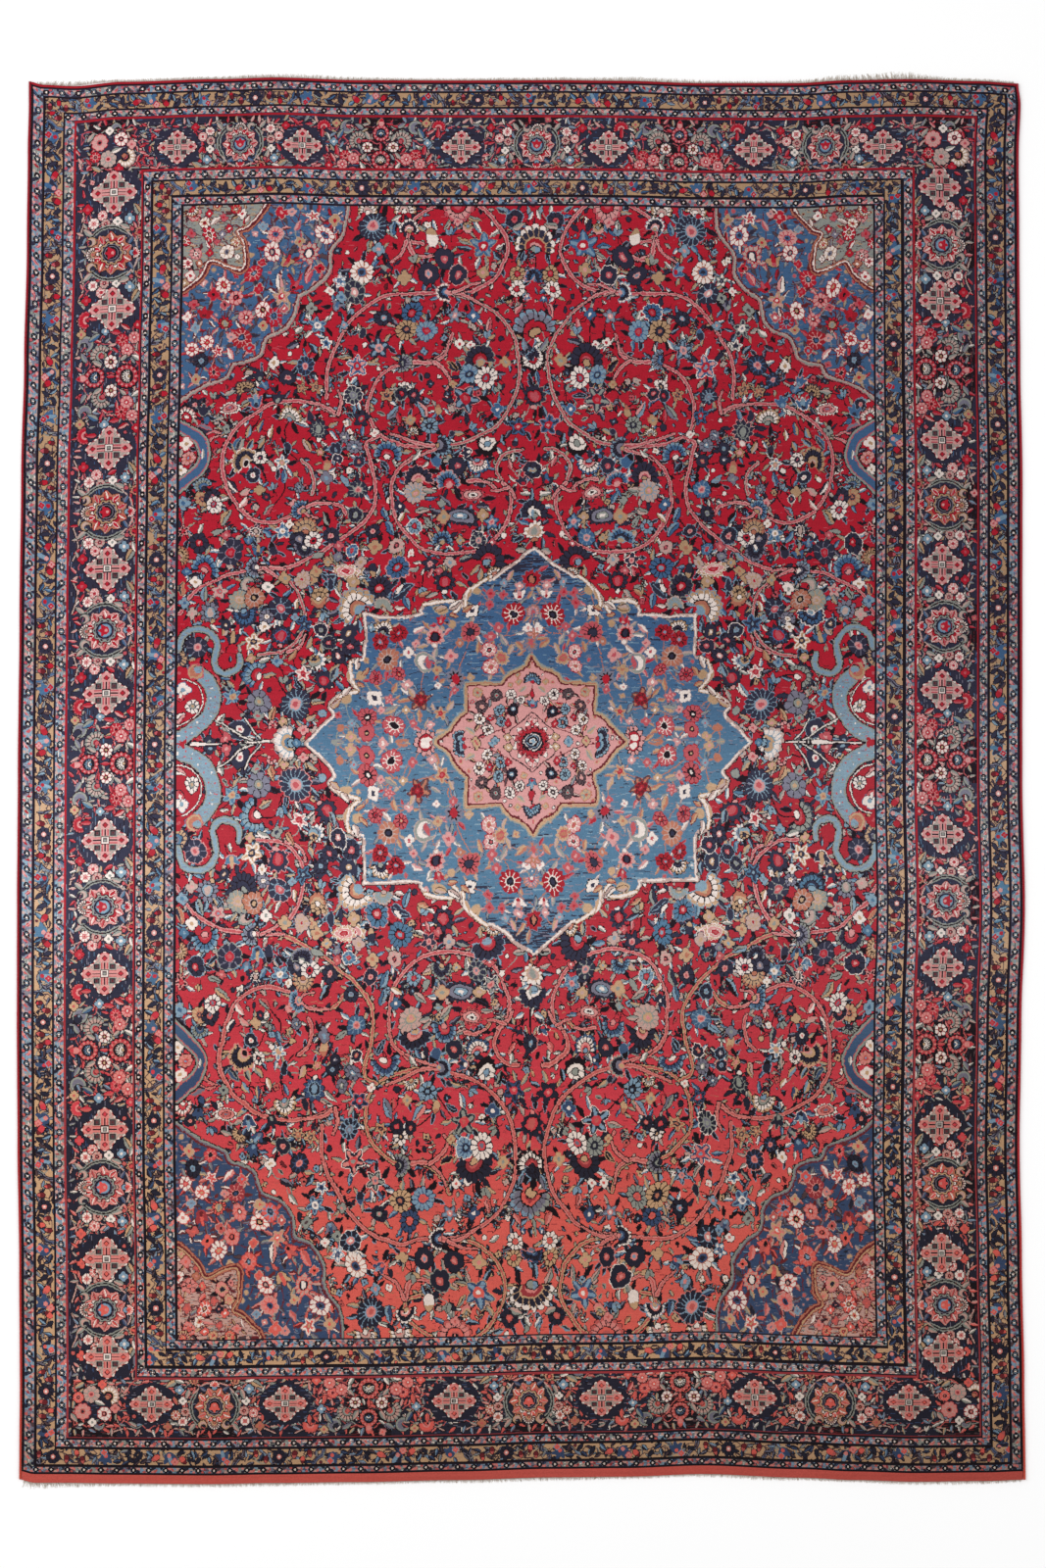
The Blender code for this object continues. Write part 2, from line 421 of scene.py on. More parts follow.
def vine(chart, points, core="c", outline="k", width=1.9, leaves=False):
    """A stem with a dark outline and small thorns, or leaves."""
    line = smooth(points)
    if leaves:
        # small leaves along both sides, pointing on
        for k in range(2, len(line) - 2, 4):
            (xa, ya), (xb, yb) = line[k - 1], line[k + 1]
            along = math.degrees(math.atan2(xb - xa, ya - yb))
            side = 1 if (k // 4) % 2 else -1
            out = math.radians(along + side * 90)
            far = 3.4 + LOOSE.rng.uniform(-0.4, 0.8)
            wool = LEAF_WOOL[LOOSE.rng.integers(len(LEAF_WOOL))]
            stamp(chart, leaf, line[k][0] + far * math.sin(out), line[k][1] - far * math.cos(out),
                  LOOSE.rng.uniform(2.8, 4.2), wool, along + side * 38)
    stroke(chart, line, width + 1.5, outline, 0.55, 5.5)
    stroke(chart, line, width, core, 0.25, 6.5)


def arabesque(chart, points, first, last, wool="pok"):
    """A split leaf: broad at its root and tapering. Wool: body, vein, outline."""
    line = smooth(points, 1.5)
    count = len(line) - 1
    for letter, more, share in ((wool[2], 1.7, 1.0), (wool[0], 0.0, 1.0), (wool[1], 0.0, 0.32)):
        for k in range(count):
            width = (first + (last - first) * k / count) * share + more
            stroke(chart, line[k : k + 2], width * (1 + 0.16 * math.sin(k * 1.3)), letter)


def thread(chart, points, letter="k", width=0.95):
    stroke(chart, smooth(points), width, letter)


def fill(chart, points, letter):
    """Fills a closed outline."""
    pts = np.asarray(points, float)
    place, x, y = chart.window(pts[:, 0].min(), pts[:, 1].min(), pts[:, 0].max(), pts[:, 1].max())
    xs, ys = x[0], y[:, 0]
    inside = np.zeros((len(ys), len(xs)), bool)
    for (xa, ya), (xb, yb) in zip(pts, np.roll(pts, -1, 0)):
        if ya == yb:
            continue
        lo, hi = (ya, yb) if ya < yb else (yb, ya)
        rows = (ys >= lo) & (ys < hi)
        at = xa + (ys[rows] - ya) * (xb - xa) / (yb - ya)
        inside[rows] ^= xs[None, :] > at[:, None]
    chart.a[place][inside] = EXACT[letter]
    return place, inside


LEAF_WOOL = ["nnk", "nlk", "lik", "isk", "kkn", "sck", "lbk", "nvk", "esk", "kkk", "csk", "nkl"]
BLUE_LEAF_WOOL = ["rRm", "pov", "cev", "isv", "lvn", "orm", "Rrm", "tcv", "seg", "iev", "vsn"]
NAVY_LEAF_WOOL = ["ork", "pok", "isk", "sek", "lvk", "prk", "csk", "vsk", "epk", "rok"]
PALE = {"n": "iplln", "b": "iplkn", "l": "knink", "k": "iokpl"}


def loosened(rows):
    """The same table, each motif a little off its place and size."""
    rng, table = LOOSE.rng, []
    for row in rows:
        kind, x, y, r, wool = row[:5]
        turn, wide, tall = (tuple(row[5:]) + (0.0, 1.0, 1.0)[len(row) - 5 :])[:3]
        table.append((kind, x + rng.normal(0, 0.7), y + rng.normal(0, 0.7), r * rng.uniform(0.95, 1.07), wool,
                      turn + rng.uniform(-9, 9), wide, tall))
    return table


def foliage(chart, table, wools=LEAF_WOOL, stem="k", share=0.78):
    """Thin stems from flower to flower, and narrow leaves round each."""
    rng = LOOSE.rng
    at = np.array([row[1:3] for row in table])
    for k, (x, y) in enumerate(at):
        near = np.argsort(np.hypot(*(at - at[k]).T))[1:4]
        for other in near[: 1 + int(rng.random() < 0.55)]:
            (xb, yb), bow = at[other], rng.uniform(-5, 5)
            long = math.hypot(xb - x, yb - y)
            if 6 < long < 34:
                mid = ((x + xb) / 2 - (yb - y) / long * bow, (y + yb) / 2 + (xb - x) / long * bow)
                thread(chart, [(x, y), mid, (xb, yb)], stem if rng.random() < 0.8 else "s", 1.0)
    for kind, x, y, r, wool, turn, wide, tall in table:
        if kind in "LYo" or r < 4.7:
            continue
        count = 3 + int(r / 2.4)
        first = rng.uniform(0, 360)
        for n in range(count):
            if rng.random() > share:
                continue
            a = first + 360 * n / count + rng.uniform(-14, 14)
            long = r * rng.uniform(0.26, 0.42) + 2.1
            far = r * 0.98 + long * 0.70
            stamp(chart, leaf, x + far * math.sin(math.radians(a)), y - far * math.cos(math.radians(a)), long,
                  wools[rng.integers(len(wools))], a + rng.uniform(-30, 30), 0.80)


def draw(chart, rows, pale=False):
    """Draws a table of motifs: kind, x, y, r, wool, turn, wide, tall."""
    rng = LOOSE.rng
    for row in rows:
        kind, x, y, r, wool = row[:5]
        turn, wide, tall = (tuple(row[5:]) + (0.0, 1.0, 1.0)[len(row) - 5 :])[:3]
        if pale and kind in "DOSFPT" and wool[0] in PALE and rng.random() < 0.55:
            wool = wool[:-1] + PALE[wool[0]][rng.integers(5)]
        if pale and rng.random() < 0.25:
            wool = wool.replace("b", "n").replace("l", "s")
        stamp(chart, KINDS[kind], x, y, r, wool, turn, wide, tall)


def dashes(chart, ground, wools, share):
    """Short runs along the weft tied in a slightly different wool."""
    rng = LOOSE.rng
    j, i = np.nonzero(chart.a == EXACT[ground])
    for k in rng.integers(0, len(j), int(len(j) * share)) if len(j) else ():
        row, col = j[k], i[k]
        run = chart.a[row, col : col + int(rng.integers(2, 9))]
        run[run == EXACT[ground]] = EXACT[wools[rng.integers(len(wools))]]


# ---- one quarter of the field, the other three are turned from it ----------
SPANDREL = [
    (349, 204), (349, 222), (345, 237), (333, 251), (330, 262), (330, 277), (319, 292),
    (303, 303), (300, 312), (298, 324), (288, 335), (271, 342), (265, 352), (262, 363),
    (250, 369), (236, 372), (230, 382), (216, 388), (200, 394), (186, 404), (174, 414),
]
CORNER = [
    (270, 204), (266, 213), (257, 224), (247, 233), (238, 237), (243, 246), (245, 254),
    (245, 274), (229, 273), (215, 267), (208, 268), (203, 278), (188, 292), (174, 300),
]
MEDALLION = [
    (543.5, 560.5), (533, 567), (520, 577), (502, 590), (497, 590), (486, 595), (476, 604),
    (471, 612), (474, 620), (467, 617), (458, 613), (446, 613), (436, 616), (430, 624),
    (427, 628.5), (376, 628.5), (372, 632), (371.5, 669), (364, 672), (357, 678),
    (356, 686), (359, 697), (365, 705), (352, 707), (342, 713), (336, 720), (341, 729),
    (325, 745), (309, 761),
]
STAR = [
    (543.5, 672), (539, 679), (532, 684), (524, 687), (517, 692), (513, 699), (477.5, 699.5),
    (477.5, 728), (471, 732), (466, 738), (462, 745), (455, 751), (446, 757), (445, 761),
]
RIBBON = [
    (183, 662), (186, 650), (193, 642), (204, 640), (215, 645), (221.6, 656), (220, 667),
    (219, 678), (228, 686), (240, 683), (245, 676), (244, 667),
]
BAND = [(203, 686), (213, 695), (219, 708), (217, 723), (208, 736), (195, 746), (172, 755)]
LOBE = [(176, 432), (188, 439), (200, 447), (206, 458), (206, 468), (200, 478), (191, 487), (176, 501)]

VINES = [
    # a spiral by the head, its foot on the round flower below
    [(428, 247), (414, 243), (416, 228), (430, 214), (452, 204), (478, 205), (499, 219), (513, 240),
     (515, 258), (509, 274), (498, 287), (482, 296), (466, 299)],
    [(331, 404), (331, 378), (340, 352), (358, 324), (380, 304), (403, 298), (442, 299)],
    [(452, 299), (475, 303), (497, 313), (516, 333), (527, 358), (528, 385), (521, 410), (505, 432), (478, 448), (452, 455)],
    [(459, 341), (455, 352), (446, 363), (432, 368), (419, 368), (399, 373), (382, 388), (374, 408), (376, 426), (386, 442), (410, 453), (446, 456)],
    [(419, 465), (404, 480), (399, 500), (401, 525), (415, 547), (436, 561), (462, 564), (490, 558), (509, 543), (519, 521), (520, 505), (517, 496)],
    [(511, 492), (505, 478), (510, 466), (521, 459), (531, 458)],
    [(386, 442), (372, 452), (380, 478), (381, 512), (366, 534), (348, 548), (330, 560), (310, 573), (290, 580), (270, 579), (256, 581)],
    [(344, 421), (322, 412), (298, 410), (268, 415), (243, 432), (229, 452), (226, 474), (232, 500), (248, 522), (272, 532), (296, 527)],
    [(306, 470), (316, 480), (319, 494), (316, 503)],
    [(308, 517), (322, 511), (334, 511), (346, 516), (352, 524)],
    [(182, 626), (192, 610), (206, 597), (226, 586), (250, 582)],
    [(292, 590), (304, 604), (310, 622), (310, 641), (300, 656), (284, 666), (264, 668)],
    [(476, 490), (486, 489), (497, 492), (503, 498)],
]
TRIDENT = [
    [(278, 757), (262, 756), (246, 750), (232, 740), (222, 734)], [(262, 757), (248, 757), (236, 757), (216, 757), (196, 757)],
    [(252, 757), (244, 760), (238, 762)], [(266, 754), (256, 744), (250, 732)],
]
SPLIT_LEAVES = [
    ([(452, 299), (464, 298), (478, 303), (490, 309)], 4.6, 2.0), ([(459, 297), (474, 291), (488, 290)], 3.6, 1.6),
    ([(413, 244), (418, 258), (430, 262), (445, 256), (452, 250)], 4.6, 2.2), ([(412, 244), (405, 258), (392, 266)], 3.4, 1.8),
    ([(450, 455), (432, 454), (414, 448), (396, 441)], 4.8, 2.0), ([(446, 458), (428, 463), (416, 470)], 3.4, 1.8),
    ([(420, 368), (436, 369), (450, 362), (456, 348)], 4.4, 1.8), ([(440, 368), (452, 376), (458, 388), (454, 396)], 3.6, 1.8),
    ([(344, 421), (334, 414), (322, 411), (310, 410)], 4.4, 2.0), ([(344, 421), (346, 408), (342, 396)], 3.2, 1.8),
    ([(258, 581), (274, 580), (290, 581)], 4.6, 2.4), ([(268, 580), (282, 588), (294, 598)], 3.4, 1.8),
    ([(308, 517), (322, 512), (336, 511)], 4.2, 2.2), ([(306, 518), (312, 526), (322, 528)], 3.2, 1.6),
    ([(511, 492), (520, 500), (524, 508)], 4.2, 2.2), ([(517, 496), (508, 500), (500, 500)], 3.4, 1.8),
    ([(476, 490), (486, 489), (497, 492)], 3.8, 2.0), ([(206, 458), (214, 448), (224, 444)], 3.4, 1.6),
    ([(200, 447), (212, 440), (222, 442)], 3.4, 1.6), ([(292, 665), (306, 660), (312, 648)], 3.6, 1.8),
]
STEMS = [
    [(543.5, 262), (543.5, 276)], [(543.5, 336), (543.5, 358)], [(543.5, 385), (543.5, 395)],
    [(543.5, 482), (543.5, 512)], [(543.5, 548), (543.5, 560)], [(530, 494), (541, 500)],
    [(436, 250), (446, 256), (450, 262)], [(391, 262), (383, 276), (368, 290), (357, 297)],
    [(463, 279), (476, 284), (488, 278)], [(410, 330), (400, 340), (388, 352), (378, 366), (363, 372)],
    [(476, 322), (484, 336), (484, 350), (486, 362)], [(497, 340), (490, 350), (470, 349)],
    [(392, 402), (410, 396), (430, 404), (447, 417)], [(470, 404), (462, 414), (444, 432)],
    [(479, 437), (462, 444), (446, 456)], [(395, 459), (384, 452)], [(366, 470), (380, 480), (396, 484)],
    [(423, 500), (410, 512), (396, 520), (382, 540)], [(454, 490), (448, 504), (452, 526), (438, 533)],
    [(470, 528), (486, 527), (501, 533)], [(422, 537), (436, 546), (452, 549), (470, 549), (488, 548)],
    [(203, 419), (218, 424), (232, 417)], [(252, 410), (262, 424), (254, 440), (241, 452)],
    [(295, 425), (290, 440), (292, 458), (302, 470)], [(322, 439), (312, 448), (310, 456)],
    [(342, 455), (334, 470), (334, 488), (348, 489)], [(248, 469), (262, 476), (270, 490), (262, 505)],
    [(286, 484), (288, 500), (274, 519)], [(203, 552), (220, 545), (236, 563), (224, 572), (210, 577)],
    [(252, 553), (264, 562), (276, 560), (288, 543)], [(303, 550), (318, 549), (334, 544)],
    [(243, 611), (230, 622), (215, 622)], [(286, 620), (296, 606), (308, 590)], [(259, 654), (270, 645), (285, 650)],
    [(310, 635), (326, 642), (336, 653), (352, 644)], [(325, 611), (330, 622), (318, 650)],
    [(303, 718), (290, 706), (280, 690), (262, 688)], [(265, 716), (254, 708), (236, 708)],
    [(244, 743), (262, 744), (280, 752), (291, 757)], [(330, 694), (318, 684), (308, 686)],
    [(332, 572), (346, 576), (362, 580), (378, 580)], [(386, 598), (398, 606), (408, 602)],
    [(440, 572), (430, 584), (430, 598)], [(454, 594), (446, 604), (434, 604)],
    [(320, 591), (330, 600), (328, 612)], [(346, 669), (352, 660), (355, 644)],
]

FIELD = [
    # beside the corner piece
    ("S", 322, 333, 10, "lbivn"), ("T", 338, 312, 7.5, "vblk", 20), ("Q", 314, 315, 6, "sgk"), ("D", 307, 371, 9.5, "nbpok"),
    ("O", 290, 385, 7.5, "nbpok"), ("T", 260, 386, 8, "bblk", -20), ("T", 280, 409, 8, "bblk", 15), ("T", 267, 396, 7, "blvk", -30),
    ("F", 246, 396, 8, "cgkckgk", -30), ("S", 319, 394, 7.5, "ctgck"), ("S", 305, 397, 6.5, "cgtck"), ("L", 294, 353, 7, "nvk", 60),
    ("Y", 215, 406, 8, "lbk", 20), ("B", 207, 427, 5, "bnk"), ("S", 329, 350, 7, "ilbnk"), ("Q", 344, 303, 5.5, "lbk"),
    ("S", 344, 285, 7.5, "libvk"), ("L", 300, 338, 6, "isk", 50), ("Q", 277, 371, 5.5, "ick"), ("L", 317, 354, 6, "nlk", -40),
    ("Q", 350, 330, 5, "lpk"), ("L", 233, 400, 6, "isk", 70), ("O", 195, 411, 5.5, "nkpok"), ("L", 306, 322, 5, "nbk", 10), ("Q", 332, 296, 4.6, "ipk"),
    # the middle column
    ("F", 543.5, 245, 19, "nicRplk"), ("D", 525, 279, 8, "ikrok"), ("D", 525, 294, 8, "ikrok"),
    ("F", 543.5, 283, 9, "nbkblvk"), ("T", 534, 304, 4, "blik", 180), ("L", 527, 315, 7, "pok", 25),
    ("F", 543.5, 330, 17, "vlkrRck"), ("L", 532, 351, 7, "lvk", -20), ("F", 543.5, 368, 12, "ikkRrnk", 180),
    ("F", 543.5, 360, 7, "nnknnnk"), ("P", 543.5, 405, 13, "nkropk"), ("S", 525.5, 434, 11, "bnrpk"),
    ("N", 497, 455, 11, "iklk", 0), ("O", 543.5, 479, 9, "nklck"), ("T", 530, 491, 7, "nbrk", -20),
    ("L", 533, 504, 6, "lik", -70), ("F", 543.5, 521, 12, "nnkillk"), ("P", 543.5, 543, 12, "icestk"),
    ("L", 512, 447, 6, "lkk", -15), ("L", 524, 465, 5, "isk", 0), ("L", 521, 472, 6, "opk", -25),
    # the head of the field
    ("D", 377, 232, 15, "nlpok"), ("F", 415, 229, 9, "nikpick"), ("B", 436, 240, 9, "icn"),
    ("Y", 456, 239, 9, "lbk"), ("N", 474, 231, 6, "iplk"), ("S", 490, 248, 15, "blric"),
    ("O", 449.5, 262, 10.5, "nnopk"), ("O", 433.5, 280, 10.5, "nnplk"), ("O", 463.5, 280, 9.5, "nnopk"),
    ("Y", 421, 268, 9, "ick"), ("Q", 410, 282, 7, "icn"), ("T", 391, 274, 8, "blrk", -60),
    ("D", 364, 276, 11.5, "itbnk"), ("O", 357, 297, 10.5, "nlpik"), ("Q", 382, 254, 6, "lpk"),
    ("L", 397, 232, 8, "lbk", 10), ("Q", 490, 277, 7, "cpn"), ("F", 370, 211, 9, "ickepik"),
    ("F", 409, 211, 10, "ickepik"), ("F", 465, 212, 15, "pokropk", 180), ("Q", 463, 225, 5, "pon"),
    ("O", 520, 225, 9, "kkorn"), ("L", 526, 231, 7, "sek", 70), ("L", 536, 214, 5, "lsk", -20),
    ("L", 538, 219, 5, "lik", 20), ("L", 508, 214, 5, "kls", -70),
    # round the second spiral
    ("F", 448, 299, 9, "nikblpk", -90), ("D", 417, 317, 10, "bkrok"), ("D", 433, 336, 11.5, "lbrok"),
    ("D", 410, 336, 11.5, "ckntk"), ("S", 461, 322, 8, "vlpik"), ("Q", 482, 321, 6, "bin"),
    ("O", 387, 323, 7.5, "nklpk"), ("B", 368, 339, 6, "nbl"), ("L", 497, 331, 7, "pok", 5),
    ("Y", 496, 344, 9, "lcn", 20), ("Q", 467, 349, 5, "irk"), ("Q", 479, 351, 4.5, "ion"),
    ("S", 384, 354, 9.5, "nlpvi"), ("S", 362, 372, 12.5, "bprli"), ("F", 411, 367, 9, "vlkblnk", 90),
    ("F", 486, 364, 14, "nnkRock"), ("D", 475, 382, 9.5, "lbnlk"), ("D", 494, 384, 11.5, "inrvk"),
    ("Q", 514, 368, 6, "cst"), ("L", 459, 372, 7, "nkc", -50), ("D", 410, 394, 7.5, "iknck"),
    ("S", 391, 402, 7, "ctntk"), ("O", 406, 403, 6.5, "nkrok"), ("O", 420, 403, 6.5, "nkopk"),
    ("D", 357, 402, 9.5, "nlvli"), ("Y", 510, 399, 8, "snk", -30), ("Q", 460, 391, 4.5, "ctk"),
    ("S", 474, 407, 14, "nlrol", 30), ("Q", 504, 417, 6.5, "bil"), ("B", 446, 418, 6, "ctn"),
    ("L", 398, 420, 9, "lvk", 30), ("L", 404, 424, 6, "ork", -10), ("L", 429, 417, 9, "lpk", -35),
    ("S", 367, 425, 9, "bnrlk"), ("D", 437, 434, 8.5, "lknlk"), ("Y", 480, 437, 8, "lbk", 60),
    ("F", 420, 441, 6, "ickstck"), ("Q", 380, 439, 4.5, "ipk"), ("o", 406, 437, 3.2, "nk"),
    ("Q", 417, 427, 5, "cst"), ("L", 466, 441, 6, "sck", 75), ("o", 460, 442, 2.8, "nv"),
    ("F", 452, 455, 9, "nlkvvck", 90), ("F", 395, 459, 12, "blkroik", 15), ("O", 361, 454, 7, "vnlik"),
    ("O", 366, 469, 6, "knock"), ("L", 391, 476, 7, "nkl", 150), ("L", 424, 463, 6, "sik", 40),
    ("B", 443, 469, 8, "bkl", -30), ("O", 465, 474, 9, "nnopk"), ("F", 487, 475, 10, "ibkprlk", 180),
    ("T", 476, 461, 7, "bnik", -100), ("F", 455, 490, 10, "blkropk"), ("F", 426, 484, 12, "nnkpock"),
    ("D", 422, 501, 12, "ilcpk"), ("L", 437, 500, 6, "esk", 90), ("D", 364, 498, 9.5, "blpok"),
    ("E", 482, 504, 13, "opikk", 0), ("Q", 449, 512, 4.5, "ilk"), ("Q", 407, 516, 5.5, "bin"),
    ("L", 430, 522, 8, "sek", 70), ("E", 469, 527, 18, "nvlik", 0), ("Q", 451, 527, 7, "cst"),
    ("Q", 490, 526, 6, "cek"), ("S", 501, 533, 8.5, "blpok"), ("L", 435, 532, 7, "ssk", -40),
    ("O", 422, 538, 7.5, "lkrok"), ("L", 408, 527, 6, "ick", 45), ("O", 360, 524, 7, "kklvk"),
    ("L", 391, 524, 8, "lbk", 165), ("L", 395, 539, 9, "lbk", 150), ("O", 379, 541, 7, "nkpok"),
    ("L", 439, 547, 7, "eck", -50), ("F", 451, 549, 9, "blknlck"), ("Q", 469, 549, 4.5, "ilk"),
    ("O", 487, 548, 8.5, "blpvk"), ("L", 455, 572, 5, "ick", 20), ("o", 513, 545, 2.6, "ik"),
    ("Q", 500, 552, 4, "oik"),
    # above the medallion
    ("O", 358, 559, 6, "blrok"), ("Q", 381, 558, 7, "ctn"), ("D", 403, 558, 7, "epkok"),
    ("F", 500, 568, 14, "nnkrolk", 25), ("L", 531, 562, 7, "sek", 90), ("Q", 459, 573, 6.5, "iln"),
    ("L", 474, 571, 7, "lbk", 70), ("D", 407, 579, 12, "bkrlk"), ("S", 438, 574, 8.5, "nnpok", 0),
    ("L", 490, 583, 6, "ick", 0), ("P", 453, 595, 12, "nkroik"), ("D", 386, 599, 12, "bkrpv"),
    ("L", 411, 602, 12, "nnl", 60), ("L", 406, 600, 5, "iik", 40), ("Y", 430, 600, 8, "lck", 150),
    ("E", 357, 581, 15, "cproi", 0), ("Q", 367, 573, 6.5, "ecn"), ("Q", 360, 593, 6.5, "cek"),
    ("B", 379, 581, 6, "nck", 180), ("Q", 334, 572, 5, "iln"), ("Q", 345, 566, 5, "vsk"),
    ("N", 327, 607, 9, "cekk", 0), ("Y", 329, 622, 8, "lck", 180), ("L", 336, 597, 6, "nnl", -60),
    ("Q", 319, 591, 6, "ctn"), ("F", 361, 616, 16, "icktcll", -38), ("F", 392, 616, 9, "selscek"),
    ("L", 416, 614, 8, "lbk", 175), ("L", 434, 606, 6, "ctk", 60), ("L", 438, 585, 5, "opk", 20),
    ("Q", 447, 583, 4.5, "opk"), ("F", 503, 585, 7, "icktppk", -45),
    # left of the medallion
    ("O", 328, 640, 6.5, "knlvk"), ("O", 355, 644, 8, "kncik"), ("L", 365, 639, 6, "nln", 0),
    ("O", 338, 652, 6.5, "knpik"), ("O", 358, 659, 8.5, "nkopk"), ("O", 346, 669, 8, "nkpik"),
    ("P", 322, 673, 10, "ilvbkk", 120), ("L", 317, 656, 6, "ick", 30), ("P", 332, 694, 13, "nnropk", 25),
    ("L", 341, 686, 7, "nls", 20), ("D", 303, 718, 16, "nlpok", 0), ("o", 328, 726, 4, "ln"),
    ("Q", 322, 745, 5, "ilk"), ("Q", 309, 743, 5, "pok"), ("L", 318, 733, 6, "csk", 60),
    ("S", 308, 686, 8.5, "ipron"), ("Y", 289, 698, 9, "lbk", 10), ("N", 320, 673, 6, "ilnk", 0),
    ("O", 265, 716, 11.5, "vkscn"), ("F", 258, 687, 13, "lbkroik", -60), ("o", 231, 673, 7, "rR"),
    ("S", 236, 708, 9.5, "lbctn"), ("B", 219, 694, 7, "toR", 0), ("O", 244.5, 743, 10, "kniok"),
    ("L", 226, 733, 7, "isk", 30), ("L", 278, 729, 8, "ctk", 20), ("F", 291, 754, 11, "iknblck"),
    ("D", 277, 742, 5, "pkrok"), ("Q", 262, 731, 5, "iok"), ("Q", 290, 736, 5, "cpk"), ("Y", 251, 727, 7, "nlk", 200),
    ("Q", 297, 742, 4.5, "lvk"), ("L", 268, 752, 8, "lvk", 90), ("L", 255, 757, 9, "sek", 95), ("Q", 232, 752, 6, "opk"),
    ("Q", 215, 754, 6, "nlk"), ("L", 203, 757, 9, "rto", 95), ("L", 192, 759, 7, "nnk", 90),
    # the third spiral, from the side
    ("T", 203, 419, 8, "bbnk", 0), ("E", 232, 417, 12, "ipovk", 0), ("F", 187, 422, 8, "ipkroik"),
    ("T", 256, 411, 8.5, "blnk", 0), ("L", 203, 437, 9, "kvo", -70), ("Q", 229, 438, 5, "ink"),
    ("L", 240, 452, 8, "bns", 30), ("L", 252, 439, 6.5, "clk", 20), ("L", 264, 435, 6.5, "cbk", 10),
    ("L", 254, 452, 6, "nlc", 30), ("L", 266, 453, 6, "lck", 35), ("L", 275, 443, 6, "ick", 20),
    ("F", 294, 424, 10, "ickselk"), ("B", 313, 423, 6, "kno", 0), ("P", 322, 440, 13, "blnlik", 0),
    ("O", 342, 456, 6.5, "knlvk"), ("O", 351, 443, 5.5, "vnlik"), ("S", 326, 460, 5.5, "ctppk"),
    ("L", 310, 454, 7, "eck", -20), ("B", 293, 458, 6, "nkl", 180), ("F", 247, 468, 12, "nckcekt", -30),
    ("O", 264, 468, 6.5, "iknok"), ("O", 257, 484, 7, "nkipk"), ("S", 286, 473, 8.5, "ilcpn"),
    ("L", 287, 486, 7, "bln", 10), ("B", 333, 476, 6.5, "cto", 0), ("Q", 333, 488, 6, "vlk"),
    ("O", 343, 467, 5.5, "knvik"), ("L", 236, 496, 7, "ink", -40), ("L", 250, 500, 6.5, "epk", 60),
    ("Q", 264, 500, 5.5, "ick"), ("Y", 279, 499, 7, "lvk", -20), ("O", 303, 498, 5, "vklck"),
    ("L", 247, 511, 6.5, "ipk", 40), ("L", 273, 519, 7, "lok", 50), ("L", 350, 489, 7, "llk", -45),
    ("O", 269, 508, 4, "knrok"), ("Q", 296, 512, 5, "pok"), ("o", 277, 478, 2.6, "ik"), ("o", 301, 484, 2.6, "ck"),
    # between the spirals
    ("D", 206, 508, 8.5, "ctntk"), ("O", 217, 507, 8, "nkovk"), ("D", 219, 517, 8.5, "inrvk"),
    ("Q", 186, 513, 6.5, "lbn"), ("F", 205, 493, 7.5, "ilkbvnk", -20), ("L", 230, 526, 9, "isk", 40),
    ("F", 303, 519, 9, "blkpvck", -60), ("L", 332, 528, 8, "lkk", -35), ("O", 203, 553, 10, "nkrpk"),
    ("O", 236, 563, 11.5, "nvrok"), ("F", 210, 576, 12, "blkropk", 15), ("T", 252, 554, 6, "blvk"),
    ("P", 261, 541, 8, "nikeck", 0), ("T", 263, 564, 7.5, "bcnk", 0), ("B", 277, 561, 7, "nkv", 0),
    ("S", 287, 543, 9, "lbicn"), ("O", 303, 550, 10, "nkvek"), ("D", 318, 549, 9.5, "inrkk"),
    ("F", 310, 537, 10, "ctncetk"), ("F", 309, 562, 9, "nvknlik", 180), ("O", 337, 544, 8, "kkpok"),
    ("F", 186, 566, 8, "ctkceok", 60), ("S", 186, 540, 7, "pkrok"), ("Q", 198, 594, 6, "ick"),
    ("S", 224, 601, 8, "ipoln"), ("L", 207, 606, 8, "lsk", 10), ("C", 252, 596, 8, "sek", 40),
    ("Q", 273, 598, 6, "isk"), ("F", 258, 580, 9, "vlknvik", -90), ("Q", 290, 590, 6, "csk"),
    ("D", 310, 591, 8.5, "icern"), ("Q", 324, 583, 6, "ctn"), ("B", 337, 596, 6, "nnl", 0),
    ("E", 352, 581, 13, "cproi", 0), ("L", 222, 540, 7, "isk", 70), ("Q", 229, 545, 5, "opk"),
    ("L", 270, 545, 7, "lbk", -40), ("Q", 296, 535, 4.5, "ick"), ("L", 325, 565, 7, "lsk", 60), ("Q", 345, 556, 5, "opn"),
    # the fourth spiral
    ("D", 243, 611, 10.5, "icecn"), ("D", 259, 611, 10.5, "tekck"), ("F", 250, 628, 11, "bnknblk", 180),
    ("O", 286, 621, 11.5, "nlopk"), ("P", 214, 623, 12, "vkleck", -20), ("O", 271, 630, 7, "vkick"),
    ("L", 302, 616, 6, "ick", 10), ("P", 284, 650, 12.5, "nbropk", 10), ("S", 258, 654, 10, "icncc"),
    ("T", 237, 652, 9, "bcck", 0), ("L", 231, 641, 7, "cek", 40), ("S", 310, 636, 9.5, "bnnlk"),
    ("O", 327, 642, 6.5, "kklvk"), ("N", 325, 611, 8, "ctik", 0), ("O", 336, 654, 7, "nkopk"),
    ("O", 229, 636, 5, "kncik"), ("Q", 300, 630, 4.5, "lvk"), ("Q", 270, 640, 5, "ick"),
    ("O", 200, 658, 11, "nvpok"), ("F", 184, 670, 10, "innbvlk", 90), ("Q", 196, 626, 6, "ipk"),
    ("L", 202, 636, 6, "lbk", 60), ("Q", 256, 670, 5, "cpk"), ("L", 270, 674, 7, "isk", 70), ("Q", 283, 676, 5.5, "lbk"),
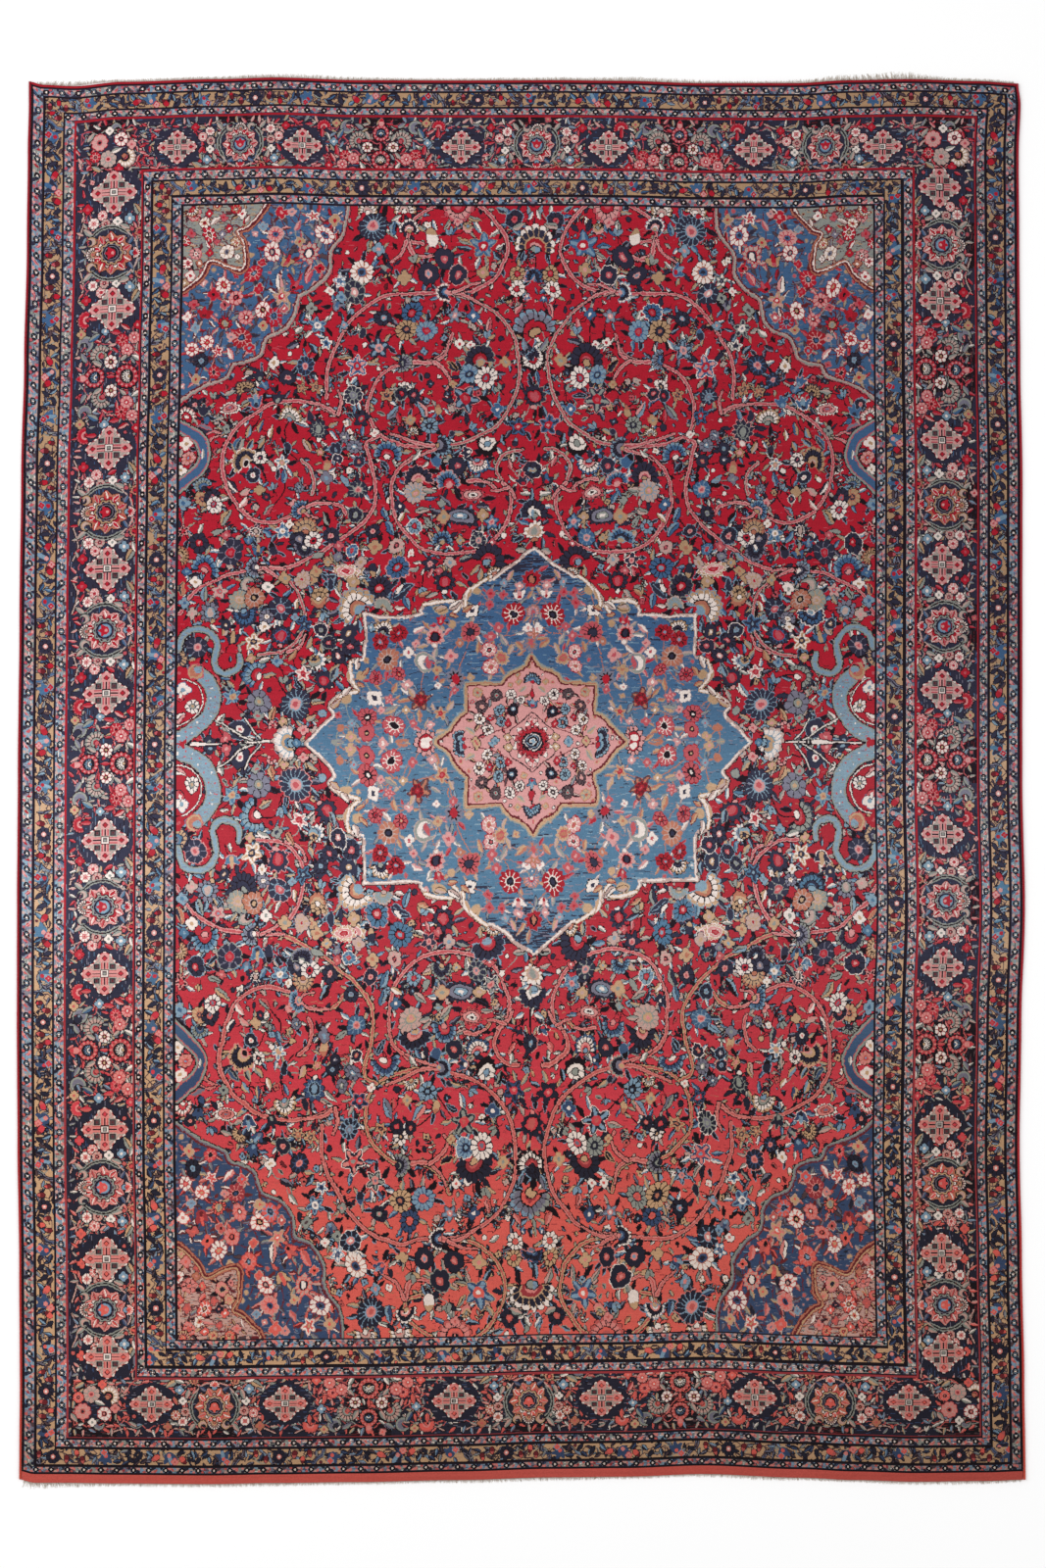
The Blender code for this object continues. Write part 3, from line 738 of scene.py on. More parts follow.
    ("L", 296, 668, 7, "ctk", 30), ("Q", 187, 614, 6, "lbn"), ("L", 186, 600, 7, "ntc", 20), ("Q", 190, 583, 5, "bln"),
]
SPANDREL_FLOWERS = [
    ("D", 208, 238, 8.5, "rimcm"), ("O", 226, 256, 8.5, "icvnm"), ("D", 193, 220, 7, "pkror"),
    ("Q", 208, 218, 5, "rig"), ("Q", 222, 222, 5, "org"), ("Q", 241, 218, 6, "irg"), ("Q", 228, 233, 5, "rig"),
    ("D", 193, 259, 7, "pkiro"), ("Q", 189, 280, 6, "iro"), ("Q", 206, 258, 5, "rcg"), ("Q", 216, 245, 4.5, "org"),
    ("Q", 190, 238, 5.5, "org"), ("Q", 254, 214, 5, "cig"), ("Q", 200, 276, 4.5, "org"), ("Q", 236, 262, 4, "img"),
    ("D", 275, 240, 9, "prbne"), ("D", 272, 257, 9, "irneR"), ("D", 326, 239, 10.5, "iRbnR"),
    ("P", 310, 260, 12, "ernier", 0), ("S", 314, 219, 8, "iroce"), ("Q", 281, 218, 7, "rpe"), ("L", 298, 230, 7, "pov", 30),
    ("T", 287, 268, 9, "crok", 20), ("L", 312, 283, 8, "por", 30), ("D", 253, 281, 9, "rpnlR"),
    ("L", 279, 288, 10, "ipk", 3), ("T", 296, 292, 9, "rokR", 40), ("D", 224, 292, 8.5, "iRrcR"),
    ("Q", 212, 299, 6, "rko"), ("D", 237, 304, 8, "prkoR"), ("P", 226, 331, 9.5, "rkcsek", -10),
    ("D", 246, 325, 7, "prmio"), ("T", 206, 322, 9, "RrmR", 0), ("D", 263, 317, 9, "irkcR"),
    ("D", 276, 325, 9, "rlnbR"), ("S", 284, 304, 9.5, "cprie"), ("D", 243, 345, 10, "RpnbR"),
    ("D", 207, 347, 7.5, "irrcR"), ("Q", 195, 333, 5, "lve"), ("S", 217, 359, 7, "irrpR"),
    ("L", 232, 360, 7, "ipR", -40), ("O", 200, 368, 8.5, "nklvk"), ("D", 190, 354, 7, "iRrpR"),
    ("D", 216, 379, 6.5, "rpknR"), ("Q", 195, 385, 5.5, "cre"), ("Q", 336, 221, 6, "cre"),
    ("L", 339, 239, 6, "rke", 0), ("Q", 262, 232, 4.5, "lve"), ("Q", 300, 247, 5, "cre"), ("Q", 322, 274, 5, "rke"),
    ("Q", 258, 297, 5, "roe"), ("Q", 250, 356, 5.5, "rle"), ("Q", 287, 318, 5, "oie"), ("Q", 265, 333, 5, "cre"),
    ("Q", 226, 311, 5, "oke"), ("Q", 195, 309, 6, "ork"), ("Q", 187, 321, 5.5, "ipr"), ("Q", 230, 344, 4.5, "pve"),
    ("Q", 262, 268, 4.5, "roe"), ("Q", 291, 215, 4.5, "pve"),
]
CORNER_FLOWERS = [
    ("F", 190, 214, 7, "ickrcrm", 130), ("D", 203, 228, 6, "icrmm"), ("L", 214, 226, 7, "iem", 60), ("D", 234, 246, 6, "circm"), ("L", 218, 268, 7, "cem", 30),
    ("O", 182, 246, 6, "rimcm"), ("L", 205, 248, 6, "irm", -40), ("D", 184, 268, 6.5, "iromm"), ("Q", 198, 268, 5, "tim"), ("O", 234, 212, 6, "rcmim"),
    ("L", 248, 224, 5, "iem", 20), ("Q", 222, 238, 4.5, "vim"), ("Q", 184, 288, 5, "cim"), ("L", 240, 233, 5, "rcm", 50), ("O", 216, 212, 5, "crmim"),
]
CORNER_LEAF_WOOL = ["ckm", "cem", "gkm", "iem", "ckm", "ecm", "mrc", "svm", "kkg", "mmg"]
SPANDREL_STEMS = [
    [(256, 250), (262, 270), (256, 290), (240, 300), (236, 320), (240, 340)],
    [(300, 215), (296, 240), (304, 262), (298, 290), (280, 310)],
    [(215, 290), (222, 312), (216, 340), (206, 366), (196, 390)],
    [(320, 225), (316, 246), (322, 270)], [(268, 285), (262, 305), (250, 322), (240, 355)],
    [(190, 312), (200, 330), (204, 352)], [(280, 222), (288, 246), (284, 276)],
]
MEDALLION_FLOWERS = [
    ("F", 391, 640, 9.5, "icknksk", 10), ("D", 405, 645, 9, "RkrlR"), ("D", 388, 653, 8.5, "RkolR"),
    ("L", 427, 642, 7, "ipv", 60), ("P", 445, 649, 12, "prknie", 0), ("T", 448, 634, 6, "roeR"),
    ("o", 461.5, 636, 4.2, "cv"), ("D", 481, 645, 10.5, "oknnt"), ("Q", 500, 605, 5.2, "orv"),
    ("Q", 513, 605, 5.2, "orv"), ("Q", 499, 615, 5, "orv"), ("D", 521.5, 627, 12, "RiknR"),
    ("T", 531, 609, 7, "ipRv"), ("L", 521, 586, 6, "pcv", 20), ("P", 543.5, 592, 13, "Rrktcv", 0),
    ("D", 397, 672, 12, "teknv"), ("D", 383.5, 689, 7.5, "okrnR"), ("D", 408, 685, 6.5, "okrcR"),
    ("Q", 418, 667, 6, "iov"), ("C", 434.5, 676, 11, "sie", 20), ("L", 437, 675, 7, "oov", 10),
    ("Q", 459, 668, 7.5, "pov"), ("D", 499, 664, 7.5, "pikoR"), ("D", 499, 680, 7.5, "pitoR"),
    ("P", 511, 671, 9, "ctotte", 80), ("Q", 500, 651, 5.5, "opv"), ("L", 514, 653, 7, "sev", -30),
    ("Q", 508, 640, 5.5, "opv"), ("H", 465, 692, 12, "vkrp", 20), ("Q", 447, 683, 5.5, "ctv"),
    ("Q", 416, 697, 5.5, "piv"), ("L", 403, 699, 7, "tcv", 20), ("S", 428, 714, 13, "gttrm", 0),
    ("O", 428, 714, 6.5, "mRroR"), ("W", 381, 711, 6.5, "inv"), ("S", 397, 712, 6.5, "opopv"),
    ("D", 375, 728, 10, "okkiR"), ("D", 401, 741, 10.5, "oikkR"), ("O", 375, 746, 8.5, "ookcR"),
    ("L", 398, 723, 8, "scv", 70), ("S", 451, 728, 8, "ctrov"), ("L", 461, 719, 6, "cev", 30),
    ("Q", 422, 737, 5, "opv"), ("P", 436, 754, 13, "pkriok", -90), ("o", 347, 742, 4, "tv"),
    ("L", 412, 756, 8, "tcv", 80), ("Q", 392, 757, 5, "piv"), ("Q", 358, 752, 6, "cpv"), ("L", 345, 757, 7, "scv", 95),
    ("F", 543.5, 626, 8, "ptvoRiv"), ("Q", 536, 643, 5.5, "ipv"), ("S", 543.5, 648, 9, "tptev"), ("H", 543.5, 657, 10, "vtop", 180),
    ("L", 530, 657, 7, "ctv", -50), ("L", 519, 663, 6, "cev", 20), ("W", 481, 624, 6, "ink"),
    ("o", 485, 602, 4.6, "cs", 0), ("o", 448, 621, 4.8, "cs", 0, 1.5), ("o", 366, 688, 4.8, "cs"),
    ("o", 353, 714, 4.6, "cs", 0, 1.3), ("Q", 424, 656, 4.5, "pov"), ("Q", 470, 655, 4.5, "tev"),
    ("L", 420, 705, 6, "cev", -30), ("Q", 446, 700, 4, "ipv"), ("Q", 413, 724, 4.5, "civ"), ("Q", 440, 739, 4.5, "piv"),
    ("Q", 377, 640, 4, "lik"), ("L", 489, 660, 6, "ctv", 10), ("Q", 530, 598, 4.5, "piv"), ("Q", 515, 594, 4.5, "lpv"),
    ("Q", 388, 724, 4.5, "pov"), ("Q", 463, 704, 4.5, "opv"), ("Q", 360, 737, 4, "lov"), ("Q", 480, 690, 4.5, "cev"),
]
STAR_FLOWERS = [
    ("D", 488, 707, 5.5, "cstrt"), ("O", 506.5, 709.5, 6.5, "kksrk"), ("O", 521.5, 709.5, 6, "ikkik"),
    ("O", 492, 721, 6.5, "kkpck"), ("O", 509.5, 725, 6, "lknlk"), ("O", 524, 727, 6, "knlik"),
    ("O", 532, 716, 5, "ikkik"), ("O", 490, 734, 6, "ikkck"), ("O", 511, 737, 5.5, "lkntk"),
    ("L", 533, 704, 5, "cse", 50), ("F", 543.5, 693, 8.5, "lnkblrk"), ("T", 543.5, 720, 6.5, "blrk"),
    ("O", 498, 745, 5.5, "ikkck"), ("F", 470, 753, 9, "nlklbrk", -90), ("Q", 519, 738, 4, "rpm"),
    ("D", 543.5, 738, 6.5, "pirok", 0), ("Q", 500, 733, 3.5, "rlk"), ("L", 481, 745, 6, "cse", -50), ("Q", 505, 756, 5, "lbk"),
    ("Q", 486, 756, 5, "cok"), ("Q", 519, 752, 4.5, "cik"), ("L", 543.5, 708, 5, "rlk", 0), ("Q", 529, 696, 3.5, "cst"), ("Q", 483, 716, 3, "ose"),
]


SPANDREL_LEAF_WOOL = ["rmm", "mmg", "gvm", "vgn", "svg", "pog", "eog", "img", "rog", "ggn", "csg", "osg", "nng", "pmg"]
MEDALLION_LEAF_WOOL = ["cev", "isv", "tcv", "sev", "pov", "vsn", "iev", "ctv", "lvn", "rov"]


def fillers(chart, rng, ground, kinds, tries, box, room=4.4):
    """Small leaves and buds where the ground is still bare."""
    g = EXACT[ground]
    for _ in range(tries):
        x, y = rng.uniform(box[0], box[2]), rng.uniform(box[1], box[3])
        kind, r, wool = kinds[rng.integers(len(kinds))]
        r = r * rng.uniform(0.85, 1.15)
        need = r + room * 0.4
        place, xs, ys = chart.window(x - need, y - need, x + need, y + need)
        part = chart.a[place]
        if part.size == 0 or (part != g).mean() > 0.03:
            continue
        stamp(chart, KINDS[kind], x, y, r, wool, rng.uniform(-70, 70))


FIELD_FILL = [
    ("L", 5.0, "lbk"), ("L", 5.0, "isk"), ("L", 4.6, "ctk"), ("Q", 3.6, "ipk"), ("Q", 3.8, "lbk"), ("Q", 3.6, "ctk"),
    ("B", 4.4, "nlk"), ("B", 4.2, "ick"), ("L", 5.0, "nvk"), ("Y", 5.6, "lvk"), ("Y", 5.6, "csk"), ("o", 2.4, "nk"), ("L", 4.6, "sek"),
    ("o", 2.0, "ik"), ("Q", 3.8, "nlk"), ("L", 4.0, "kkv"),
]
SMALL_FILL = [
    ("L", 3.4, "kkk"), ("L", 3.3, "nnk"), ("L", 3.2, "sks"), ("Y", 3.8, "isk"), ("Y", 4.0, "kkk"), ("L", 3.2, "csk"), ("L", 3.2, "nlk"),
    ("Y", 4.0, "nlk"), ("L", 3.2, "kvk"), ("L", 3.2, "mmk"), ("o", 0.9, "lk"), ("L", 3.2, "esk"), ("L", 3.0, "okm"), ("Y", 4.0, "csk"),
]
BLUE_FILL = [
    ("Q", 3.8, "oRv"), ("Q", 3.6, "piv"), ("L", 4.4, "cev"), ("L", 4.4, "rov"), ("o", 2.2, "cv"), ("L", 4.4, "sev"), ("Q", 3.6, "ctv"), ("o", 1.9, "ov"),
]


SPRIG_WOOL = ["nkk", "nnk", "sks", "isk", "csk", "nlk", "vgk", "mmk", "esk", "lnk", "nvk", "cgk", "sgk", "lvk"]


def sprigs(chart, rng, count, box):
    """Thin bending stems with leaves in pairs and a bud at the tip."""
    for n in range(count):
        x, y = rng.uniform(box[0], box[2]), rng.uniform(box[1], box[3])
        a, bend, step = rng.uniform(0, 2 * math.pi), rng.uniform(-0.45, 0.45), rng.uniform(3.4, 4.6)
        points = []
        for k in range(6):
            points.append((x, y))
            x, y, a = x + step * math.sin(a), y - step * math.cos(a), a + bend
        thread(chart, points, "k" if n % 4 else "s", 0.95)
        for k, (px, py) in enumerate(points[1:5]):
            for side in (-1, 1):
                turn = a + bend * (k - 5) + side * 0.95
                stamp(chart, leaf, px + 2.5 * math.sin(turn), py - 2.5 * math.cos(turn), 2.5, SPRIG_WOOL[int(rng.integers(len(SPRIG_WOOL)))], math.degrees(turn), 0.85)
        stamp(chart, KINDS["Q"], points[5][0], points[5][1], 3.4, ("nlk", "ick", "cnk", "lnk", "esk", "okm")[n % 6], rng.uniform(0, 90))


def draw_quarter(number, wide, high, low):
    """One quarter, as it lies at the upper left. The weaver repeated it by
    eye: number gives each of the four its own small differences."""
    q = Chart(181.0, 209.3, 543.5, 757.0, wide, high, "r")
    rng = np.random.default_rng(70 + number)
    LOOSE.on, LOOSE.rng = True, rng
    for points in STEMS:
        thread(q, points, "k", 1.3)
    sprigs(q, rng, 230 if low else 170, (182, 210, 545, 760))
    field = [row[:4] + ("n" * (row[4][0] == "k") + row[4][row[4][0] == "k" :],) + row[5:] for row in loosened(FIELD)]
    field = [row[:4] + ("esc"[k % 3] + row[4][1:],) + row[5:] if row[4][0] == "i" and k % 5 < 2 else row for k, row in enumerate(field)]
    foliage(q, field)
    for k, points in enumerate(VINES):
        vine(q, points, "cpp"[k % 3] if low else "ppe"[k % 3], "k", 3.2, True)
        stroke(q, smooth(points), 1.2, "o", 0.4, 9.0)
    for points, first, last in SPLIT_LEAVES:
        arabesque(q, points, first, last)
    draw(q, field, True)
    stamp(q, dot, 281, 757, 15, "rr", 0, 1.1, 0.9)
    for points in TRIDENT:
        vine(q, points, "s", "k", 1.3)
        stroke(q, smooth(points), 0.9, "i")
    fillers(q, rng, "r", FIELD_FILL, 3000, (182, 210, 545, 760), 2.6)
    fillers(q, rng, "r", SMALL_FILL, 5200 if low else 4500, (182, 210, 545, 760), 1.5)
    dashes(q, "r", "Rmo" if not low else "Romt", 0.006)
    # the lobe and the band at the side
    stroke(q, smooth(LOBE), 14.5, "k", 0.8, 4.0)
    stroke(q, smooth(LOBE), 12.6, "s", 0.6, 4.0)
    stroke(q, smooth(LOBE), 9.5, "o")
    stroke(q, smooth(LOBE), 7.6, "b")
    draw(q, [("Q", 187, 452, 6.5, "icr"), ("D", 190, 466, 6.5, "ptrlk"), ("Q", 184, 478, 5.5, "ick"), ("L", 205, 463, 4.5, "isb", 0)])
    half_disc = [(176 + 31 * math.cos(t), 714 + 25 * math.sin(t)) for t in np.linspace(-1.57, 1.57, 24)]
    fill(q, half_disc, "r")
    stroke(q, half_disc, 2.6, "k")
    stroke(q, half_disc, 1.1, "i")
    draw(q, [("D", 197, 720, 7, "insck"), ("Q", 186, 702, 8, "ilb"), ("T", 184, 711, 6, "oirk"), ("L", 184, 731, 8, "ipk", 60)])
    for points, width in ((BAND, 11.5), (RIBBON, 2.6)):
        line = smooth(points)
        stroke(q, line, width + 4.0, "k", 1.0, 5.0)
        stroke(q, line, width + 2.0, "s", 1.1, 5.0)
        stroke(q, line, width - 0.4, "l", 0.9, 5.0)
    dashes(q, "l", "svl", 0.05)
    for i, (x, y) in enumerate(smooth(BAND, 4.0)[1:-1]):
        side = 3.0 if i % 2 else -3.0
        draw(q, [("o", x + side * 0.8, y + side * 0.6, 0.9, "ol" if i % 3 else "il")])
    draw(q, [("C", 200, 684, 8, "cto", -30), ("Q", 183, 684, 6, "ror"), ("T", 184, 760, 8, "rtrR", 90)])
    # the quarter medallion in the corner
    blue = Chart(q.x0, q.y0, q.x0 + q.nx * q.dx, q.y0 + q.ny * q.dy, q.nx, q.ny, "b")
    for points in SPANDREL_STEMS:
        thread(blue, points, "m", 1.0)
    flowers = [row[:3] + (row[3] * 0.92,) + row[4:] for row in loosened(SPANDREL_FLOWERS)]
    foliage(blue, flowers, SPANDREL_LEAF_WOOL, "m", 0.98)
    draw(blue, flowers)
    fillers(blue, rng, "b", BLUE_FILL, 1300, (178, 206, 346, 400), 2.4)
    fillers(blue, rng, "b", [("L", 3.0, "vvg"), ("L", 3.0, "mmg"), ("L", 3.0, "pog"), ("Y", 3.8, "gmg"), ("L", 2.8, "svg"), ("o", 0.9, "pv")], 2600, (178, 206, 346, 420), 1.6)
    dashes(blue, "b", "vnlv", 0.018)
    sage = [("e" if low else "s", CORNER)]
    for letter, outline in sage:
        inner = Chart(blue.x0, blue.y0, blue.x0 + blue.nx * blue.dx, blue.y0 + blue.ny * blue.dy, blue.nx, blue.ny, letter)
        thread(inner, [(182, 230), (200, 240), (214, 236), (226, 246), (232, 262)], "m", 1.0)
        thread(inner, [(190, 212), (208, 214), (226, 216), (246, 212)], "m", 1.0)
        corner = loosened([row for row in SPANDREL_FLOWERS if row[1] < 246 and row[2] < 282] + CORNER_FLOWERS)
        corner = [row[:3] + (row[3] * 0.84,) + row[4:] for row in corner]
        foliage(inner, corner, CORNER_LEAF_WOOL, "m", 0.8 if low else 0.42)
        corner = [row[:4] + (row[4].replace("i", "p").replace("v", "n"),) + row[5:] if low and k % 3 else row for k, row in enumerate(corner)]
        dashes(inner, letter, "stmg" if low else "csgv", 0.09 if low else 0.06)
        draw(inner, corner)
        fillers(inner, rng, letter, [("Q", 2.6, "org"), ("L", 3.0, "img"), ("L", 3.0, "rcm"), ("o", 1.2, "mc"), ("o", 1.2, "km")], 260, (178, 206, 272, 300), 1.6)
        place, inside = fill(Chart(blue.x0, blue.y0, blue.x0 + blue.nx * blue.dx, blue.y0 + blue.ny * blue.dy, blue.nx, blue.ny, "r"), outline + [(174, 204)], "s")
        blue.a[place][inside] = inner.a[place][inside]
        line = smooth(outline, 2.0)
        stroke(blue, line, 6.0, "m", 0.5, 4.5)
        stroke(blue, line, 4.6, "t", 0.6, 4.5)
        stroke(blue, line, 1.8, "m", 0.4, 4.0)
        stroke(blue, line + np.array([-1.3, -1.1]), 0.9, "c" if low else "i", 0.2, 3.0)
    place, inside = fill(Chart(q.x0, q.y0, q.x0 + q.nx * q.dx, q.y0 + q.ny * q.dy, q.nx, q.ny, "r"), SPANDREL + [(174, 204)], "b")
    line = smooth(SPANDREL, 2.0)
    stroke(q, line, 3.6 if low else 4.4, "k", 1.2, 3.6)
    stroke(q, line, 2.0 if low else 3.0, "s" if low else "o", 1.1, 3.6)
    q.a[place][inside] = blue.a[place][inside]
    stroke(q, line + np.array([-1.2, -0.9]), 2.2, "m", 0.4, 3.6)
    stroke(q, line, 1.5 if low else 2.0, "v" if low else "e", 0.5, 4.0)
    stroke(q, line + np.array([0.6, 0.5]), 0.9, "s", 0.5, 3.0)
    # the medallion and its star
    med = Chart(q.x0, q.y0, q.x0 + q.nx * q.dx, q.y0 + q.ny * q.dy, q.nx, q.ny, "b")
    for points in ([(543.5, 605), (530, 616), (520, 640), (508, 660)], [(404, 652), (404, 672), (397, 690), (383, 700)],
                   [(480, 652), (470, 676), (465, 690)], [(540, 634), (526, 646), (514, 648)], [(381, 740), (396, 730), (420, 722), (446, 728)],
                   [(445, 655), (440, 670), (430, 690), (428, 704)]):
        thread(med, points, "t", 0.9)
    for n in range(300):
        x, y = rng.uniform(360, 545), rng.uniform(562, 757)
        if n < 110:
            x, y = 548 - abs(rng.normal(0, 26)), 566 + abs(rng.normal(0, 24))
        stroke(med, [(x, y), (x - rng.uniform(5, 20), y)], rng.uniform(0.7, 1.5), "n" if n < 110 else "lvnb"[n % 4])
    flowers = loosened(MEDALLION_FLOWERS)
    flowers = [row[:3] + (row[3] * 0.94,) + row[4:] for row in flowers]
    foliage(med, flowers, MEDALLION_LEAF_WOOL, "t", 0.42)
    draw(med, flowers)
    fillers(med, rng, "b", BLUE_FILL, 500, (345, 565, 545, 760), 4.6)
    dashes(med, "b", "vnvl", 0.022)
    pink = Chart(q.x0, q.y0, q.x0 + q.nx * q.dx, q.y0 + q.ny * q.dy, q.nx, q.ny, "p")
    thread(pink, [(543.5, 700), (543.5, 716)], "k", 1.0)
    thread(pink, [(520, 756), (521, 745), (530, 738), (543.5, 728)], "k", 1.0)
    thread(pink, [(478, 753), (492, 752), (508, 746), (522, 740)], "m", 0.9)
    foliage(pink, loosened([row[:5] for row in STAR_FLOWERS if row[0] == "O"]), ["ekm", "okm", "ckm", "svk", "rck", "ggm"], "m", 0.4)
    draw(pink, [row[:3] + (row[3] * 0.90, row[4].replace("kk", "gk", 1)) + row[5:] for row in STAR_FLOWERS])
    fillers(pink, rng, "p", [("o", 1.5, "oc"), ("Q", 2.6, "cst"), ("o", 1.3, "ik")], 220, (450, 675, 545, 760), 3.0)
    for i in range(12):
        a = 2 * math.pi * (i + 0.5) / 12
        stamp(pink, bud, 543.5 + 16.5 * math.sin(a), 757 - 16.5 * math.cos(a), 4.6, "oik", math.degrees(a))
    stamp(pink, star, 543.5, 757, 16, "RrRRk", n=18, deep=0.22)
    stamp(pink, daisy, 543.5, 757, 10.8, "kkkkk", n=18)
    stamp(pink, dot, 543.5, 757, 8.0, "ni")
    stamp(pink, dot, 543.5, 757, 5.6, "kl")
    stamp(pink, dot, 543.5, 757, 2.6, "li")
    shape = STAR + [(545.5, 761), (545.5, 671)]
    line = np.vstack([np.linspace(a, b, 8)[:-1] for a, b in zip(STAR, STAR[1:])])
    stroke(med, line, 7.4, "s", 1.2, 4.0)
    stroke(med, line, 5.4, "c", 0.8, 4.0)
    stroke(med, line, 4.2, "t", 0.6, 3.0)
    place, inside = fill(Chart(q.x0, q.y0, q.x0 + q.nx * q.dx, q.y0 + q.ny * q.dy, q.nx, q.ny, "r"), shape, "p")
    med.a[place][inside] = pink.a[place][inside]
    stroke(med, line, 1.7, "m", 0.3, 3.0)
    stroke(med, line + np.array([-1.4, -1.1]), 1.0, "c", 0.4, 3.0)
    line = np.array(MEDALLION, float)
    line = smooth(MEDALLION, 2.0)
    stroke(q, line, 4.2, "k", 0.9, 4.5)
    stroke(q, line, 2.8, "e", 0.9, 4.5)
    shape = MEDALLION + [(545.5, 761), (545.5, 560.5)]
    place, inside = fill(Chart(q.x0, q.y0, q.x0 + q.nx * q.dx, q.y0 + q.ny * q.dy, q.nx, q.ny, "r"), shape, "b")
    q.a[place][inside] = med.a[place][inside]
    stroke(q, line, 1.9, "e", 0.6, 4.0)
    for k in range(0, len(line) - 3, 3):
        stroke(q, line[k : k + 4], 1.2, "iiiiie"[int(rng.integers(0, 6))], 0.4, 3.0)
    for arc in ([(496, 589), (484, 597), (474, 608), (473, 619)], [(434, 617), (447, 613.5), (460, 613.5), (467, 619), (462, 625)],
                [(358, 675), (356, 686), (360, 697), (366, 705)], [(365, 706), (351, 709), (338, 719)]):
        stroke(q, smooth(arc), 4.4, "k")
        stroke(q, smooth(arc), 3.4, "c", 0.5, 5.0)
        stroke(q, smooth(arc), 1.6, "i", 0.6, 5.0)
    draw(q, [("L", 463, 617, 7.5, "iek", 55), ("L", 476, 605, 6.5, "ice", 20), ("L", 449, 620, 6.5, "eck", 80), ("L", 364, 676, 6.5, "iek", 15),
             ("L", 356, 691, 7.0, "ice", 165), ("L", 353, 706, 6.5, "iek", 40), ("L", 343, 717, 6.5, "ecm", 50), ("L", 372, 684, 5.5, "ctm", 40),
             ("L", 368, 698, 5.0, "tcm", 120), ("L", 476, 621, 5.5, "ctm", 60), ("L", 462, 627, 5.0, "tcm", 100), ("L", 408, 618, 5.0, "eik", 85)])
    draw(q, [("F", 361, 617, 16, "icktcll", -38), ("F", 291, 757, 14.5, "ielcblk", -90), ("Q", 303, 757, 4.0, "blk")])
    return warped(warped(q.a, 1.5, 26.0, rng), 0.42, 3.0, rng)


# ---- the borders: each strip is drawn with its outer side up ----------------
def star_tile(p, q, r, wool, out):
    """The pale lozenge of the main border, with four dark squares and a cross."""
    rad, th = np.hypot(p, q), np.arctan2(p, q)
    edge = r * (0.855 + 0.145 * np.cos(4 * th)) + 0.028 * r * np.cos(20 * th)
    far = np.maximum(np.abs(p), np.abs(q))
    near = np.minimum(np.abs(p), np.abs(q))
    u = r / 25.0
    put(out, rad < edge + 1.1, "k")
    put(out, rad < edge, "o")
    put(out, rad < edge - 0.9, "e")
    put(out, (rad < edge - 0.9) & ((np.floor(p * 0.9) + 2 * np.floor(q * 0.9)) % 3 == 0), "s")
    put(out, (rad < edge) & (rad > edge - 1.5) & (np.cos(20 * th) > 0.2), "i")
    put(out, (rad < edge - 0.9) & (far > 13.5 * u) & (near < 5.0 * u), "p")
    put(out, (np.abs(far - 17.8 * u) + near * 1.0 < 3.6 * u), "m")
    put(out, (np.abs(far - 17.6 * u) + near * 1.3 < 2.7 * u), "r")
    put(out, (near < 3.4 * u) & (far > 5 * u) & (far < 13 * u), "p")
    put(out, (np.abs(near - 3.2 * u) < 0.5) & (far > 5 * u) & (far < 13 * u), "o")
    put(out, (near < 0.6) & (far > 5 * u) & (far < 13 * u), "k")
    for a in (-1, 1):
        for b in (-1, 1):
            m = np.maximum(np.abs(p - a * 8.4 * u), np.abs(q - b * 8.4 * u))
            put(out, m < 3.7 * u, "s")
            put(out, m < 3.1 * u, "k")
            put(out, m < 2.2 * u, "g")
            put(out, m < 0.9 * u, "m")
    put(out, far < 4.6 * u, "k")
    put(out, far < 3.6 * u, "i")
    put(out, far < 2.4 * u, "g")
    put(out, far < 1.4 * u, "s")


